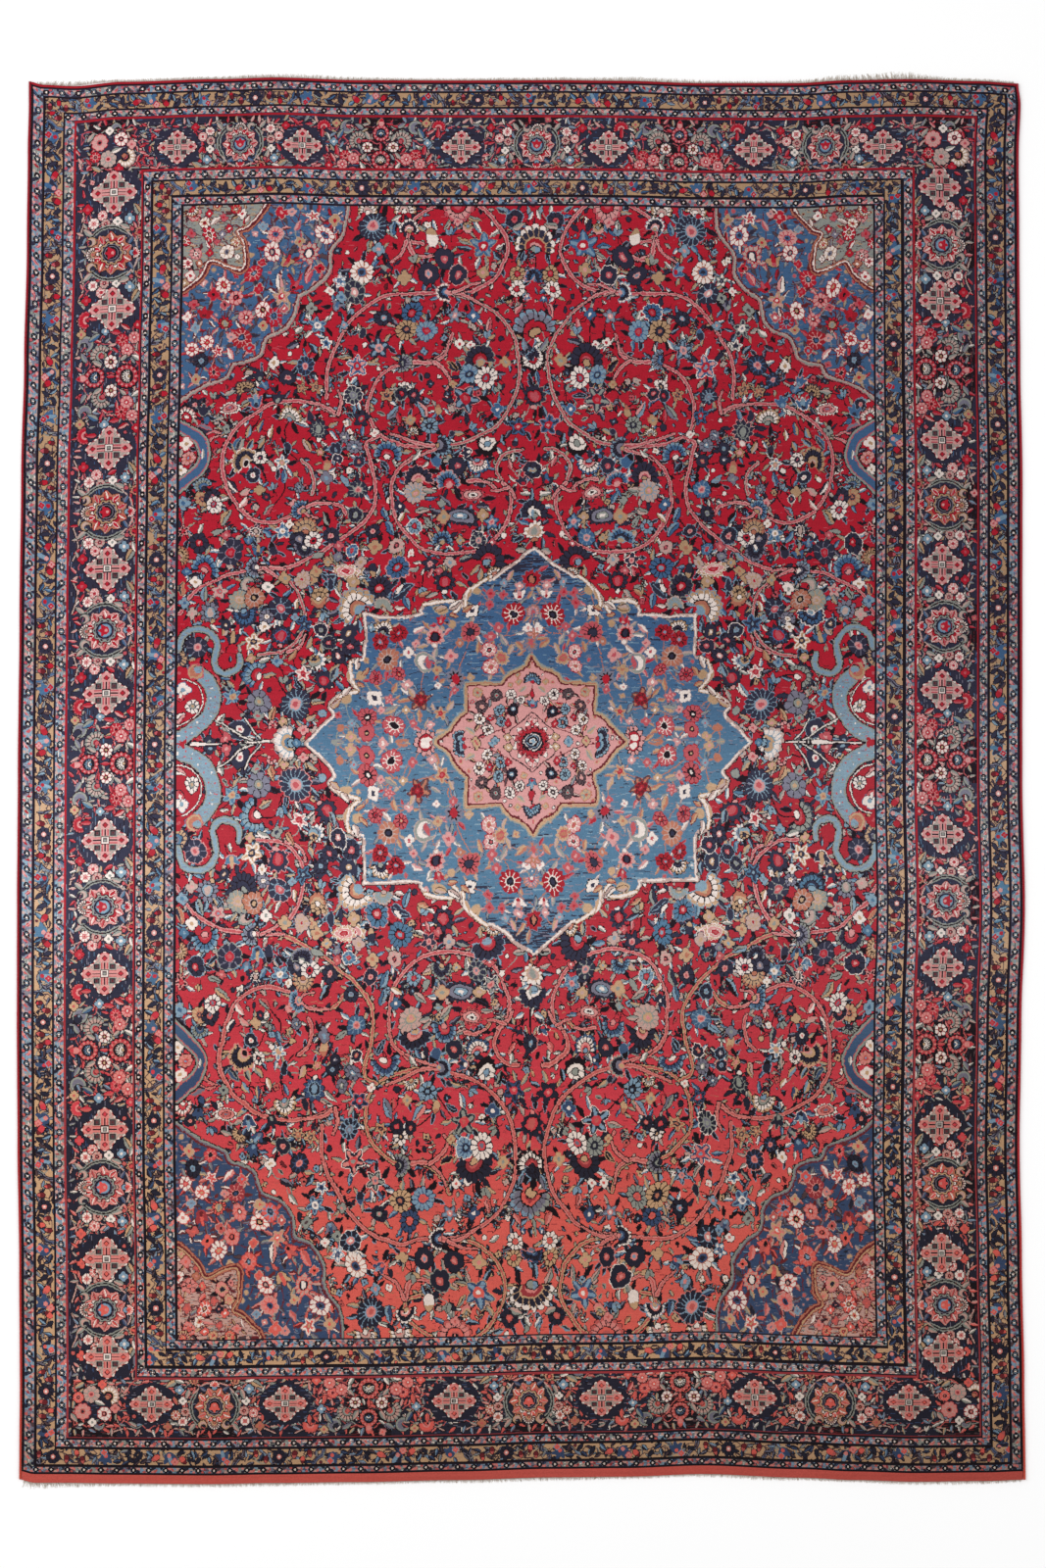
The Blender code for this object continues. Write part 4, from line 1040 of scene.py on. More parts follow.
def sun_palmette(chart, x, y, r, peach=False):
    """The spiked palmette of the main border, its crown to the inner side."""
    petal, pale, mark = "tcr" if peach else "psR"
    stamp(chart, dot, x, y + 0.02 * r, 1.20 * r, "nn")
    for side in (-1, 1):
        curl = [(x + side * 0.98 * r, y + 0.78 * r), (x + side * 1.27 * r, y + 0.15 * r), (x + side * 1.18 * r, y - 0.52 * r), (x + side * 0.84 * r, y - 0.98 * r)]
        stroke(chart, smooth(curl), 2.4, "s", 1.0, 3.2)
        stroke(chart, smooth(curl), 0.9, "k", 0.4, 3.2)
        stroke(chart, smooth([(x + side * 0.16 * r, y + 1.30 * r), (x + side * 0.66 * r, y + 1.14 * r), (x + side * 1.05 * r, y + 0.74 * r)]), 1.1, "e", 0.3, 3.0)
        stamp(chart, leaf, x + side * 0.62 * r, y + 0.96 * r, 0.22 * r, "bvk", side * 120)
        stamp(chart, crescent, x + side * 0.62 * r, y - 0.98 * r, 0.24 * r, pale + "ek", side * 60)
    for a in range(0, 360, 45):
        out = math.radians(a)
        stamp(chart, leaf, x + 0.78 * r * math.sin(out), y - 0.78 * r * math.cos(out), 0.28 * r, ("isk", pale + mark + "k")[(a // 45) % 2], a, 0.9)
    stamp(chart, star, x, y, 1.05 * r, petal + mark + pale + "ek", 18, n=10, deep=0.20)
    for a in range(0, 360, 36):
        out = math.radians(a + 18)
        lean = 14 if (a // 36) % 2 else -14
        stamp(chart, leaf, x + 0.82 * r * math.sin(out), y - 0.82 * r * math.cos(out), 0.21 * r, ("r" + mark + "i", "i" + petal + mark, "o" + mark + "e")[(a // 36) % 3], a + 18 + lean, 0.80)
        out = math.radians(a)
        stamp(chart, dot, x + 0.66 * r * math.sin(out), y - 0.66 * r * math.cos(out), 0.075 * r, ("ik", "rR", "ek")[(a // 36) % 3])
    stamp(chart, star, x, y, 0.60 * r, pale + "kiek", n=10, deep=0.14)
    stamp(chart, dot, x, y, 0.43 * r, "kv", 0, 0.96)
    stamp(chart, dot, x, y, 0.31 * r, "lb" if not peach else "kv", 0, 0.96)
    stamp(chart, tulip, x, y + 0.02 * r, 0.29 * r, "rrpr", 0)
    stamp(chart, fan, x, y - 0.98 * r, 0.28 * r, "ei" + "k" + pale + "otk", 0)
    stamp(chart, dot, x, y + 1.02 * r, 0.13 * r, "lk")
    stamp(chart, fan, x, y + 1.20 * r, 0.22 * r, "iirrrrk", 180)


def twin_flowers(chart, x, y, r):
    """Two round flowers, one over the other, each with a half flower in it."""
    for dy, size, eye in ((-1.50, 0.98, "lbkilbk"), (1.62, 1.16, "iskisck")):
        stamp(chart, dot, x, y + dy * r, size * r, "kk")
        stamp(chart, star, x, y + dy * r, size * r, "rRRRk", n=16, deep=0.16)
        for a in range(0, 360, 30):
            out = math.radians(a)
            stamp(chart, dot, x + 0.78 * size * r * math.sin(out), y + dy * r + 0.78 * size * r * math.cos(out), 0.085 * r, "po")
        stamp(chart, dot, x, y + dy * r, 0.60 * size * r, "ko")
        stamp(chart, fan, x, y + dy * r, 0.46 * size * r, eye, 0)
    stamp(chart, leaf, x, y + 0.05 * r, 0.42 * r, "ork")
    stamp(chart, bud, x, y - 2.75 * r, 0.45 * r, "pro")


def corner_flowers(chart, x, y, r):
    """The loose bunch that fills a corner of the main border."""
    stamp(chart, dot, x, y, 1.5 * r, "nn")
    for kind, dx, dy, size, wool, turn in (
        ("D", -1.1, -0.7, 0.75, "peokR", 0), ("O", 0.9, -0.9, 0.62, "iokpR", 0), ("D", -0.3, 0.9, 0.80, "espRk", 0), ("O", -1.5, 0.6, 0.5, "rpkok", 0),
        ("F", 1.5, 0.9, 0.85, "ieckotk", 130), ("C", 0.4, -1.9, 0.5, "svk", 60), ("Q", 1.9, -0.4, 0.45, "pok", 0), ("L", -1.9, -1.3, 0.5, "esk", 40),
        ("L", 0.5, 0.1, 0.5, "sik", 70), ("Q", -0.2, -1.7, 0.4, "isk", 0), ("L", -1.4, 1.7, 0.5, "csk", -60), ("Q", 0.7, 1.8, 0.42, "rok", 0),
    ):
        stamp(chart, KINDS[kind], x + dx * r, y + dy * r, size * r, wool, turn)


# along (on both sides) and across from the middle of a palmette or a pair,
# the outer side up
FLANK_A = [
    ("O", 31, -20, 5.4, "iopRk"), ("O", 39, -12, 5.6, "pioRk"), ("O", 30, -8, 5.2, "eokpk"), ("Q", 32, 4, 4.8, "isk"), ("Q", 35, 17, 5.4, "lik"),
    ("P", 21, 27, 6.4, "cokrtk", 160), ("L", 27, 12, 6, "sek", 20), ("L", 44, 24, 8, "csk", 60), ("L", 40, 4, 5, "ork", -30), ("Q", 47, -26, 5.2, "rok"),
    ("L", 22, -27, 6, "esk", 40), ("L", 50, 29, 6, "vsk", 80), ("L", 36, 28, 6, "sik", -70), ("o", 24, 19, 2.0, "ok"),
]
FLANK_B = [
    ("D", 14, 0, 6.6, "iRkck"), ("F", 24, -12, 10.0, "esksrok", 40), ("O", 36, 11, 6.2, "rpRkR"), ("O", 40, 23, 6.4, "proik"), ("O", 27, 16, 6.4, "poriR"),
    ("C", 35, -26, 8, "svk", 20), ("L", 41, -18, 7, "sbk", -30), ("F", 60, -28, 7.6, "rorpork", 10), ("L", 60, -19, 6, "rok", 0), ("Q", 48, -6, 5.0, "lik"),
    ("L", 45, 4, 6, "rok", 10), ("L", 50, 14, 6, "Rpk", 30), ("Q", 53, 26, 4.8, "rpk"), ("L", 18, 26, 6, "isk", 30), ("L", 30, 29, 5.4, "iok", 80),
    ("L", 22, -28, 6, "vsk", 60), ("Q", 46, -31, 5, "cok"), ("L", 14, -14, 6, "sek", 30), ("L", 17, 12, 5, "esk", -40),
]


def main_band(length, depth, nx, ny, units, rng, peach=False, dark=False):
    """Lozenges, spiked palmettes and pairs of flowers on navy wool. The chart
    is 68.5 deep in its own units."""
    c = Chart(0, 0, length, depth, nx, ny, "n")
    tall = depth / 68.5
    mid = depth * 0.575
    for kind, at in units:
        if dark and kind != "R":
            c.a[c.window(at - 23, 0, at + 23, depth)[0]] = EXACT["k"]
    places = [at for kind, at in units if kind == "R"]
    for at in places:
        for dx, dy in ((-40, 0), (40, 0)):
            vine(c, [(at + dx * 0.25, 4), (at + dx * 0.55, 9), (at + dx * 0.8, 8), (at + dx * 1.1, 4)], "e", "k", 1.0)
        vine(c, [(at - 62, depth - 6), (at - 46, depth - 3), (at - 22, depth - 3), (at - 8, depth - 5)], "s", "k", 1.1)
        vine(c, [(at + 8, depth - 5), (at + 24, depth - 3), (at + 40, depth - 3), (at + 54, depth - 9)], "e", "k", 1.1)
        thread(c, [(at - 30, mid - 34 * tall), (at - 36, mid - 10 * tall), (at - 30, mid + 20 * tall)], "e", 1.0)
        thread(c, [(at + 28, mid - 30 * tall), (at + 36, mid - 4 * tall), (at + 30, mid + 20 * tall)], "o", 1.0)
    rows = [("Q", x, y, rng.uniform(4.8, 6.5), "pri") for x in np.arange(6, length, 11.5) for y in (mid - 25 * tall, mid - 8 * tall, mid + 9 * tall, mid + 24 * tall)]
    foliage(c, loosened(rows), NAVY_LEAF_WOOL, "o", 0.85)
    for at in places:
        stamp(c, dot, at, mid, 26.5 * (0.20 + 0.80 * tall), "nn", 0, 1.10 if tall < 0.9 else 0.98, 0.90 if tall < 0.9 else 1.04)
    for kind, at in units:
        table = {"A": FLANK_A, "B": FLANK_B}.get(kind, ())
        for side in (-1, 1):
            for shape, dx, dy, r, wool, *turn in table:
                if peach and kind == "A" and rng.random() < 0.6:
                    wool = wool.replace("p", "t").replace("r", "t")
                stamp(c, KINDS[shape], at + side * dx + rng.normal(0, 0.6), mid + dy * tall + rng.normal(0, 0.5),
                      r * (0.4 + 0.6 * tall) * rng.uniform(0.92, 1.06), wool, side * (turn[0] if turn else 0), 1.0, 0.96)
    for kind, at in units:
        if kind == "A":
            sun_palmette(c, at, mid - 2, 21.0 * (0.26 + 0.74 * tall), peach or rng.random() < 0.15)
        if kind == "B":
            twin_flowers(c, at, mid - 1, 10.6 * (0.25 + 0.75 * tall))
        if kind == "C":
            corner_flowers(c, at, mid, 11.0)
    for at in places:
        stamp(c, star_tile, at, mid, 22.6 * (0.20 + 0.80 * tall), "", 0, 1.10 if tall < 0.9 else 0.97, 0.90 if tall < 0.9 else 1.03)
    fillers(c, rng, "n", [("Q", 3.4, "pri"), ("L", 4.6, "isk"), ("Q", 3.4, "sck"), ("L", 4.4, "ork"), ("o", 1.8, "ok"), ("L", 4.0, "esk"), ("Q", 3.0, "pok"), ("L", 4.4, "vik")],
            int(length * 2.2), (1, 2, length - 1, depth - 2), 2.4)
    fillers(c, rng, "k", [("Q", 3.4, "prg"), ("L", 4.4, "esg"), ("Q", 3.2, "ocg"), ("L", 4.4, "org"), ("o", 1.6, "og"), ("L", 4.0, "ceg"), ("L", 4.4, "vig")],
            int(length * 2.2), (1, 2, length - 1, depth - 2), 2.0)
    dashes(c, "n", "bkv", 0.02)
    dashes(c, "k", "gmn", 0.05)
    return c.a


CAMEL = [
    # along and across (share of half the depth) from a rosette
    ("O", 0, 0.0, 7.4, "nkpin"), ("B", -12.0, -0.35, 4.2, "mok"), ("B", 12.0, 0.30, 4.2, "mok"), ("B", 20, -0.42, 4.2, "rmk"),
    ("B", 25.5, 0.40, 4.0, "mok"), ("B", -20, 0.42, 3.8, "mrk"), ("L", -7.5, 0.75, 3.0, "cgk", 60), ("L", 7.5, -0.75, 3.0, "cgk", 60),
    ("T", 45, 0.0, 8.0, "bbrb", 15), ("Q", 43, -0.62, 3.2, "rol"), ("L", 54, 0.55, 4.4, "bnk", 70), ("L", 53, -0.6, 3.6, "ngk", 40),
    ("L", 63, -0.5, 4.6, "nnk", 50), ("L", 66, 0.4, 4.6, "nbk", -50), ("L", 73, -0.15, 5.0, "nnk", 20), ("L", 77, 0.55, 4.2, "ngk", 60),
    ("L", 82, -0.5, 4.6, "lbk", -40), ("B", 86, 0.1, 5.2, "rok", 60), ("L", 90, 0.62, 3.8, "cgk", 90),
    ("T", 98, -0.1, 8.4, "blpb", -20), ("Q", 103, 0.6, 3.4, "por"), ("L", 107, -0.6, 4.2, "nbk", 40), ("B", 110, 0.35, 5.0, "rmk", -40),
    ("L", 117, -0.35, 4.6, "nlk", -30), ("L", 121, 0.45, 4.6, "nnk", 30), ("L", 128, -0.5, 4.4, "nbk", 60), ("L", 131, 0.3, 4.0, "lbk", -20),
    ("T", 143, 0.05, 7.8, "blrb", 180), ("Q", 147, 0.6, 3.2, "rpl"), ("L", 135, 0.6, 3.6, "ngk", 30),
]


def camel_band(length, depth, nx, ny, start, period, rng):
    """A wavy flowering stem on camel wool."""
    c = Chart(0, 0, length, depth, nx, ny, "c")
    k, half = period / 190.0, depth / 2
    size = min(1.0, depth / 18 + 0.10)
    for i in range(-1, int(length / period) + 2):
        at = start + i * period + rng.uniform(-3, 3)
        up = 1 if i % 2 else -1
        stem = [(at + d * k, half + up * half * s) for d, s in
                ((4, 0.1), (14, 0.75), (26, 0.72), (36, 0.0), (44, -0.6), (56, -0.2), (66, 0.1), (80, 0.4), (94, 0.5), (106, 0.0), (118, -0.1), (130, -0.4), (142, 0.4), (152, 0.2))]
        thread(c, stem, "g", 1.0)
        for d, s in ((33, 1), (157, -1)):
            line = smooth([(at + (d - 5) * k, half - up * s * half), (at + (d - 2) * k, half - up * s * half * 0.3), (at + (d + 3) * k, half + up * s * half * 0.25), (at + (d + 4) * k, half + up * s * half)])
            stroke(c, line, 4.8, "k")
            stroke(c, line, 3.4, "v")
            stroke(c, line, 1.4, "b" if s > 0 else "n")
        rows = [("Q", at + d * k, half + s * half, 5.0, "nlk") for d in np.arange(0, 190, 9.5) for s in (-0.5, 0.5)]
        foliage(c, loosened(rows), ["nnk", "ngk", "vnk", "bnk", "ggk", "svk", "lvk"], "g", 0.50)
        for kind, dx, dy, r, wool, *turn in CAMEL:
            x = at + dx * k + rng.uniform(-1, 1)
            y = half + up * dy * half
            if kind == "T" and rng.random() < 0.4:
                wool = wool.replace("l", "b")
            if rng.random() < 0.3:
                wool = wool.replace("b", "n", 1)
            stamp(c, KINDS[kind], x, y, r * size * rng.uniform(0.92, 1.08), wool, up * (turn[0] if turn else 0) + rng.uniform(-15, 15))
    fillers(c, rng, "c", [("L", 3.0, "nnk"), ("o", 1.1, "mg"), ("L", 3.0, "lvg"), ("L", 3.0, "vlg"), ("o", 1.1, "rg"), ("L", 2.8, "svg"), ("L", 2.8, "lbg")],
            int(length * 1.0), (1, 1, length - 1, depth - 1), 1.6)
    return c.a


def small_guard(length, depth, nx, ny, start, rng, light=0.0):
    """Rings with a white eye between slanting leaves."""
    c = Chart(0, 0, length, depth, nx, ny, "l")
    step, half = 16.5, depth / 2
    for i in range(int(length / step) + 3):
        at = start + (i - 1) * step + rng.uniform(-0.6, 0.6)
        ground = "lvsvl"[(i // 2) % 5]
        place, xs, ys = c.window(at - step / 2, 0, at + step / 2, depth)
        c.a[place] = EXACT[ground]
        way = 1 if i % 2 else -1
        leaf_wool = ("ooR", "poR", "RRo", "rpo")[int(rng.integers(0, 4))]
        stroke(c, [(at + 3, half + way * half * 0.9), (at + step - 3, half - way * half * 0.9)], 2.6, leaf_wool[0])
        stroke(c, [(at + 3, half + way * half * 0.9), (at + step - 3, half - way * half * 0.9)], 1.1, leaf_wool[1])
        for a in (-1, 1):
            stamp(c, leaf, at + step / 2 + a * way * 3.6, half + a * half * 0.56, 2.9, ("nnn", "ggg", "nbn")[int(rng.integers(0, 3))], way * 50, 0.9)
            stamp(c, dot, at + a * 4.3, half + a * way * half * 0.60, 0.9, "ee" if rng.random() < 0.5 else "pp")
            stamp(c, dot, at - a * 4.3, half + a * way * half * 0.62, 0.8, "oo" if rng.random() < 0.5 else "nn")
        stamp(c, dot, at, half, min(2.6, half * 0.60), "gk", 0, 1.12, 0.92)
        stamp(c, dot, at, half, min(2.1, half * 0.46), "lk")
        stamp(c, dot, at, half, 1.0, "ik")
    dashes(c, "l", "vsbe", 0.16)
    dashes(c, "v", "lson", 0.14)
    dashes(c, "s", "lvin", 0.14)
    dashes(c, "v", "lsei", light)
    dashes(c, "l", "iles", light)
    for y in (0.35, depth - 0.35):
        stroke(c, [(0, y), (length, y)], 0.5, "n")
    return c.a


BANDS = [
    # kind, then the outer and inner edge at the left, right, head and foot
    ("guard", (24.5, 35.0), (1037.5, 1028.0), (84.7, 93.0), (1500.0, 1493.0)),
    ("camel", (37.5, 55.5), (1026.0, 1009.6), (94.2, 108.0), (1491.0, 1476.0)),
    ("guard", (57.5, 67.8), (1007.5, 998.2), (109.5, 117.0), (1473.3, 1465.6)),
    ("main", (69.5, 138.0), (996.5, 934.5), (119.0, 171.4), (1463.0, 1404.0)),
    ("guard", (139.8, 148.0), (932.5, 923.0), (173.3, 182.2), (1401.0, 1392.3)),
    ("camel", (150.0, 168.0), (920.5, 904.5), (184.2, 198.2), (1389.5, 1375.0)),
    ("guard", (169.7, 179.3), (902.8, 893.5), (200.0, 207.8), (1372.5, 1364.0)),
]
FIELD_BOX = (181.0, 209.3, 891.5, 1363.0)
UNITS = {
    "left": "R193 A255 R312 B381 R454 A519 R577 A640 R704 B776 R854 A922 R990 B1068 R1149 A1208 R1281 A1333 R1381",
    "right": "R190 A249 R306 B376 R448 A514 R575 A638 R703 B774 R850 A918 R986 B1064 R1146 A1206 R1277 A1330 R1379",
    "head": "C106 R174 A239 R303 B384 R467 A545 R619 B692 R769 A843 R902 C966",
    "foot": "C96 R154 A218 R290 B375 R462 A538 R612 B692 R768 A845 R925 C978",
}
CAMEL_AT = {("left", 0): 277, ("right", 0): 240, ("head", 0): 255, ("foot", 0): 282,
            ("left", 1): 380, ("right", 1): 350, ("head", 1): 364, ("foot", 1): 330}


def rect(chart, x0, y0, x1, y1, letter):
    place, xs, ys = chart.window(x0, y0, x1 - chart.dx, y1 - chart.dy)
    chart.a[place] = EXACT[letter]


def paste(chart, x0, y0, x1, y1, painter, outer):
    """Lays a strip down, its outer side to the head, foot, left or right."""
    i0, i1 = round((x0 - chart.x0) / chart.dx), round((x1 - chart.x0) / chart.dx)
    j0, j1 = round((y0 - chart.y0) / chart.dy), round((y1 - chart.y0) / chart.dy)
    i0, j0, i1, j1 = max(i0, 0), max(j0, 0), min(i1, chart.nx), min(j1, chart.ny)
    if outer in ("head", "foot"):
        strip = painter(x1 - x0, y1 - y0, i1 - i0, j1 - j0)
        strip = strip if outer == "head" else strip[::-1]
    else:
        strip = painter(y1 - y0, x1 - x0, j1 - j0, i1 - i0).T
        strip = strip if outer == "left" else strip[:, ::-1]
    chart.a[j0:j1, i0:i1] = strip


def draw_borders(chart):
    rect(chart, 0, 81.4, 1100, 84.6, "R")
    rect(chart, 0, 1501.7, 1100, 1512, "r")
    counts = {"camel": 0}
    for number, (kind, left, right, head, foot) in enumerate(BANDS):
        rng = np.random.default_rng(100 + number)
        sides = {
            "head": (left[0], head[0], right[0], head[1]),
            "foot": (left[0], foot[1], right[0], foot[0]),
            "left": (left[0], head[1], left[1], foot[1]),
            "right": (right[1], head[1], right[0], foot[1]),
        }
        if kind in ("guard", "camel"):
            ring = (left[0], head[0], right[0], foot[0])
            rim = (0.2, 0.2, 0.2, 1.2) if number == 4 else (1.0, 0.8, 1.0, 0.8)
            rect(chart, ring[0] - rim[0], ring[1] - rim[1], ring[2] + rim[2], ring[3] + rim[3], "k")
        if kind == "main":
            rect(chart, left[0] - 1.7, head[0] - 1.5, right[0] + 1.7, foot[0] + 1.6, "R")
        for outer, (x0, y0, x1, y1) in sides.items():
            level = outer in ("head", "foot")
            origin = x0 if level else y0
            if kind == "main":
                units = [(u[0], float(u[1:]) - origin) for u in UNITS[outer].split()]
                painter = lambda a, b, nx, ny: main_band(a, b, nx, ny, units, rng, outer == "foot", outer != "left")
            elif kind == "camel":
                at = CAMEL_AT[outer, counts["camel"]] - origin
                period = 230 if level else 190
                painter = lambda a, b, nx, ny: camel_band(a, b, nx, ny, at % period, period, rng)
            else:
                painter = lambda a, b, nx, ny: small_guard(a, b, nx, ny, rng.uniform(0, 16), rng, {2: 0.10, 4: 0.22}.get(number, 0.0))
            paste(chart, x0, y0, x1, y1, painter, outer)
        if kind == "main":
            rect(chart, left[1] - 0.4, head[1] - 0.4, right[1] + 0.4, foot[1] + 0.4, "R")
        if kind == "camel":
            counts["camel"] += 1


def wander(nx, ny, cell, amount, rng):
    """A smooth random field, for the small errors of handwork."""
    gx, gy = int(nx / cell) + 3, int(ny / cell) + 3
    grid = rng.normal(0, amount, (gy, gx))
    y, x = np.arange(ny) / cell, np.arange(nx) / cell
    j, i = y.astype(int), x.astype(int)
    fy, fx = (y - j)[:, None], (x - i)[None, :]
    fy, fx = fy * fy * (3 - 2 * fy), fx * fx * (3 - 2 * fx)
    top = grid[j][:, i] * (1 - fx) + grid[j][:, i + 1] * fx
    low = grid[j + 1][:, i] * (1 - fx) + grid[j + 1][:, i + 1] * fx
    return top * (1 - fy) + low * fy


def warped(a, amount, cell, rng):
    """The same drawing with its knots a little out of place."""
    ny, nx = a.shape
    j = np.arange(ny)[:, None] + wander(nx, ny, cell, amount, rng)
    i = np.arange(nx)[None, :] + wander(nx, ny, cell, amount, rng)
    return a[np.clip(np.rint(j).astype(int), 0, ny - 1), np.clip(np.rint(i).astype(int), 0, nx - 1)]


def draw_field(chart):
    i0, i1 = round((181.0 - chart.x0) / chart.dx), round((891.5 - chart.x0) / chart.dx)
    j0, j1 = round((209.3 - chart.y0) / chart.dy), round((1363.0 - chart.y0) / chart.dy)
    im, jm = round((543.5 - chart.x0) / chart.dx), round((757.0 - chart.y0) / chart.dy)
    for number, (right, low) in enumerate(((0, 0), (1, 0), (0, 1), (1, 1))):
        wide = (i1 - im) if right else (im - i0)
        high = (j1 - jm) if low else (jm - j0)
        quarter = draw_quarter(number, wide, high, bool(low))
        if right:
            quarter = quarter[:, ::-1]
        if low:
            quarter = quarter[::-1]
        chart.a[jm if low else j0:j1 if low else jm, im if right else i0:i1 if right else im] = quarter


def draw_chart():
    chart = Chart(X0, Y0, X1, Y1, ACROSS_KNOTS, ALONG_KNOTS, "k")
    draw_borders(chart)
    draw_field(chart)
    return chart


# ---------------------------------------------------------------------------
# The rug itself.
# ---------------------------------------------------------------------------
TILE = 6                                    # knots along a side of each face
COLS, ROWS = ACROSS_KNOTS // TILE, ALONG_KNOTS // TILE
MARGIN = 0.004                              # room round the front in the bake map
FRONT = (0.004, 0.004, 0.996, 0.900)        # where the front lies in the bake map
BACK = (0.004, 0.908, 0.300, 0.996)         # and the back
EDGE_STRIP = (0.310, 0.908, 0.996, 0.996)   # and the cut edge


def packed_rows(a):
    """Each face holds 6 x 6 knots, a row of six in one number. Two triples."""
    rows, cols = a.shape[0] // TILE, a.shape[1] // TILE
    tiles = a.reshape(rows, TILE, cols, TILE).transpose(0, 2, 1, 3).astype(np.int64)
    codes = (tiles * 16 ** np.arange(TILE)).sum(-1)
    return codes.reshape(rows * cols, TILE).astype(np.float32)


def grid_faces(cols, rows, base, down=False):
    """Faces of a grid of (cols + 1) x (rows + 1) points, the first row at the head."""
    j, i = np.meshgrid(np.arange(rows), np.arange(cols), indexing="ij")
    a = base + j * (cols + 1) + i
    quad_ = np.stack([a + cols + 1, a + cols + 2, a + 1, a], -1).reshape(-1, 4)
    return quad_[:, ::-1] if down else quad_


def make_pile(chart):
    rng = np.random.default_rng(3)
    b, a = np.meshgrid(np.linspace(1, 0, ROWS + 1), np.linspace(0, 1, COLS + 1), indexing="ij")
    x, y = pile_point(a, b, CORD_D + GAP + 0.0010)
    y = y - np.where(b == 1, 0.0010, 0) + np.where(b == 0, 0.0010, 0)
    lift = wander(COLS + 1, ROWS + 1, 17.0, 0.00018, rng) + wander(COLS + 1, ROWS + 1, 41.0, 0.00030, rng)
    z = THICK - 0.0006 + np.clip(lift, -0.0009, 0.0006)
    top = np.stack([x, y, z], -1).reshape(-1, 3)
    # the back, half as many faces each way
    bc, br = COLS // 2, ROWS // 2
    b2, a2 = np.meshgrid(np.linspace(1, 0, br + 1), np.linspace(0, 1, bc + 1), indexing="ij")
    xb, yb = pile_point(a2, b2, CORD_D + GAP + 0.0004)
    low = np.stack([xb, yb, np.zeros_like(xb)], -1).reshape(-1, 3)
    # the loops round the front and the back, clockwise from the head's left
    def loop(cols, rows, base):
        at = lambda j, i: base + j * (cols + 1) + i
        return ([at(0, i) for i in range(cols)] + [at(j, cols) for j in range(rows)]
                + [at(rows, i) for i in range(cols, 0, -1)] + [at(j, 0) for j in range(rows, 0, -1)])
    front_loop = loop(COLS, ROWS, 0)
    # the fullest line of the edge, just under the front
    shares_ = [((k - base) % (COLS + 1) / COLS, 1 - (k - base) // (COLS + 1) / ROWS) for base in (0,) for k in front_loop]
    sa, sb = np.array([s[0] for s in shares_]), np.array([s[1] for s in shares_])
    xe, ye = pile_point(sa, sb, CORD_D + GAP)
    edge = np.stack([xe, ye, np.full_like(xe, THICK - 0.0022)], -1)
    base_low = len(top)
    base_edge = base_low + len(low)
    back_loop = loop(bc, br, base_low)
    points = np.vstack([top, low, edge])
    faces = [tuple(f) for f in grid_faces(COLS, ROWS, 0)]
    front_count = len(faces)
    faces += [tuple(f) for f in grid_faces(bc, br, base_low, down=True)]
    back_count = len(faces) - front_count
    count = len(front_loop)
    front_of, rim_uv, rim_from = [], [], []
    def owner(k):
        """The front face beside loop edge k, and the edge's ends in that face's knot map."""
        if k < COLS:
            return k, (0, 0.99), (1, 0.99)
        k -= COLS
        if k < ROWS:
            return k * COLS + COLS - 1, (0.99, 1), (0.99, 0)
        k -= ROWS
        if k < COLS:
            return (ROWS - 1) * COLS + COLS - 1 - k, (1, 0.01), (0, 0.01)
        k -= COLS
        return (ROWS - 1 - k) * COLS, (0.01, 0), (0.01, 1)
    for k in range(count):
        n = (k + 1) % count
        face, ua, ub = owner(k)
        faces.append((front_loop[k], front_loop[n], base_edge + n, base_edge + k))
        rim_from.append(face)
        rim_uv.append((ua, ub, ub, ua))
    for k in range(0, count, 2):
        n, m = (k + 1) % count, (k + 2) % count
        face, ua, ub = owner(k)
        mid = ((ua[0] + ub[0]) / 2, (ua[1] + ub[1]) / 2)
        faces.append((base_edge + k, base_edge + n, base_edge + m, back_loop[(k // 2 + 1) % len(back_loop)], back_loop[k // 2]))
        rim_from.append(face)
        rim_uv.append((ua, mid, ub, ub, ua))
    mesh = bpy.data.meshes.new("wool_pile")
    mesh.from_pydata(points.tolist(), [], faces)
    # which wool each knot is tied in
    front = packed_rows(chart.a)
    thinned = chart.a[1::2, 1::2]
    thinned = thinned[: br * TILE, : bc * TILE]
    back = packed_rows(thinned)
    codes = np.vstack([front, back, front[np.array(rim_from)]])
    for name, part in (("rows_a", codes[:, :3]), ("rows_b", codes[:, 3:])):
        layer = mesh.attributes.new(name, "FLOAT_VECTOR", "FACE")
        layer.data.foreach_set("vector", np.ascontiguousarray(part, np.float32).ravel())
    # knot map: one square a face; bake map: front, back and edge apart
    knot = np.tile(np.array([(0, 0), (1, 0), (1, 1), (0, 1)], np.float32), (front_count, 1))
    knot_back = np.tile(np.array([(0, 1), (1, 1), (1, 0), (0, 0)], np.float32), (back_count, 1))
    rim = np.array([p for uv in rim_uv for p in uv], np.float32)
    uv_layer = mesh.uv_layers.new(name="knot")
    uv_layer.data.foreach_set("uv", np.vstack([knot, knot_back, rim]).astype(np.float32).ravel())
    loops = np.zeros(len(mesh.loops), np.int32)
    mesh.loops.foreach_get("vertex_index", loops)
    share_a = np.concatenate([a.ravel(), a2.ravel(), sa])
    share_b = np.concatenate([b.ravel(), b2.ravel(), sb])
    bake = np.stack([share_a[loops], share_b[loops]], -1)
    fl, bl = front_count * 4, back_count * 4
    for part, (u0, v0, u1, v1) in ((slice(0, fl), FRONT), (slice(fl, fl + bl), BACK)):
        bake[part] = np.stack([u0 + bake[part][:, 0] * (u1 - u0), v0 + bake[part][:, 1] * (v1 - v0)], -1)
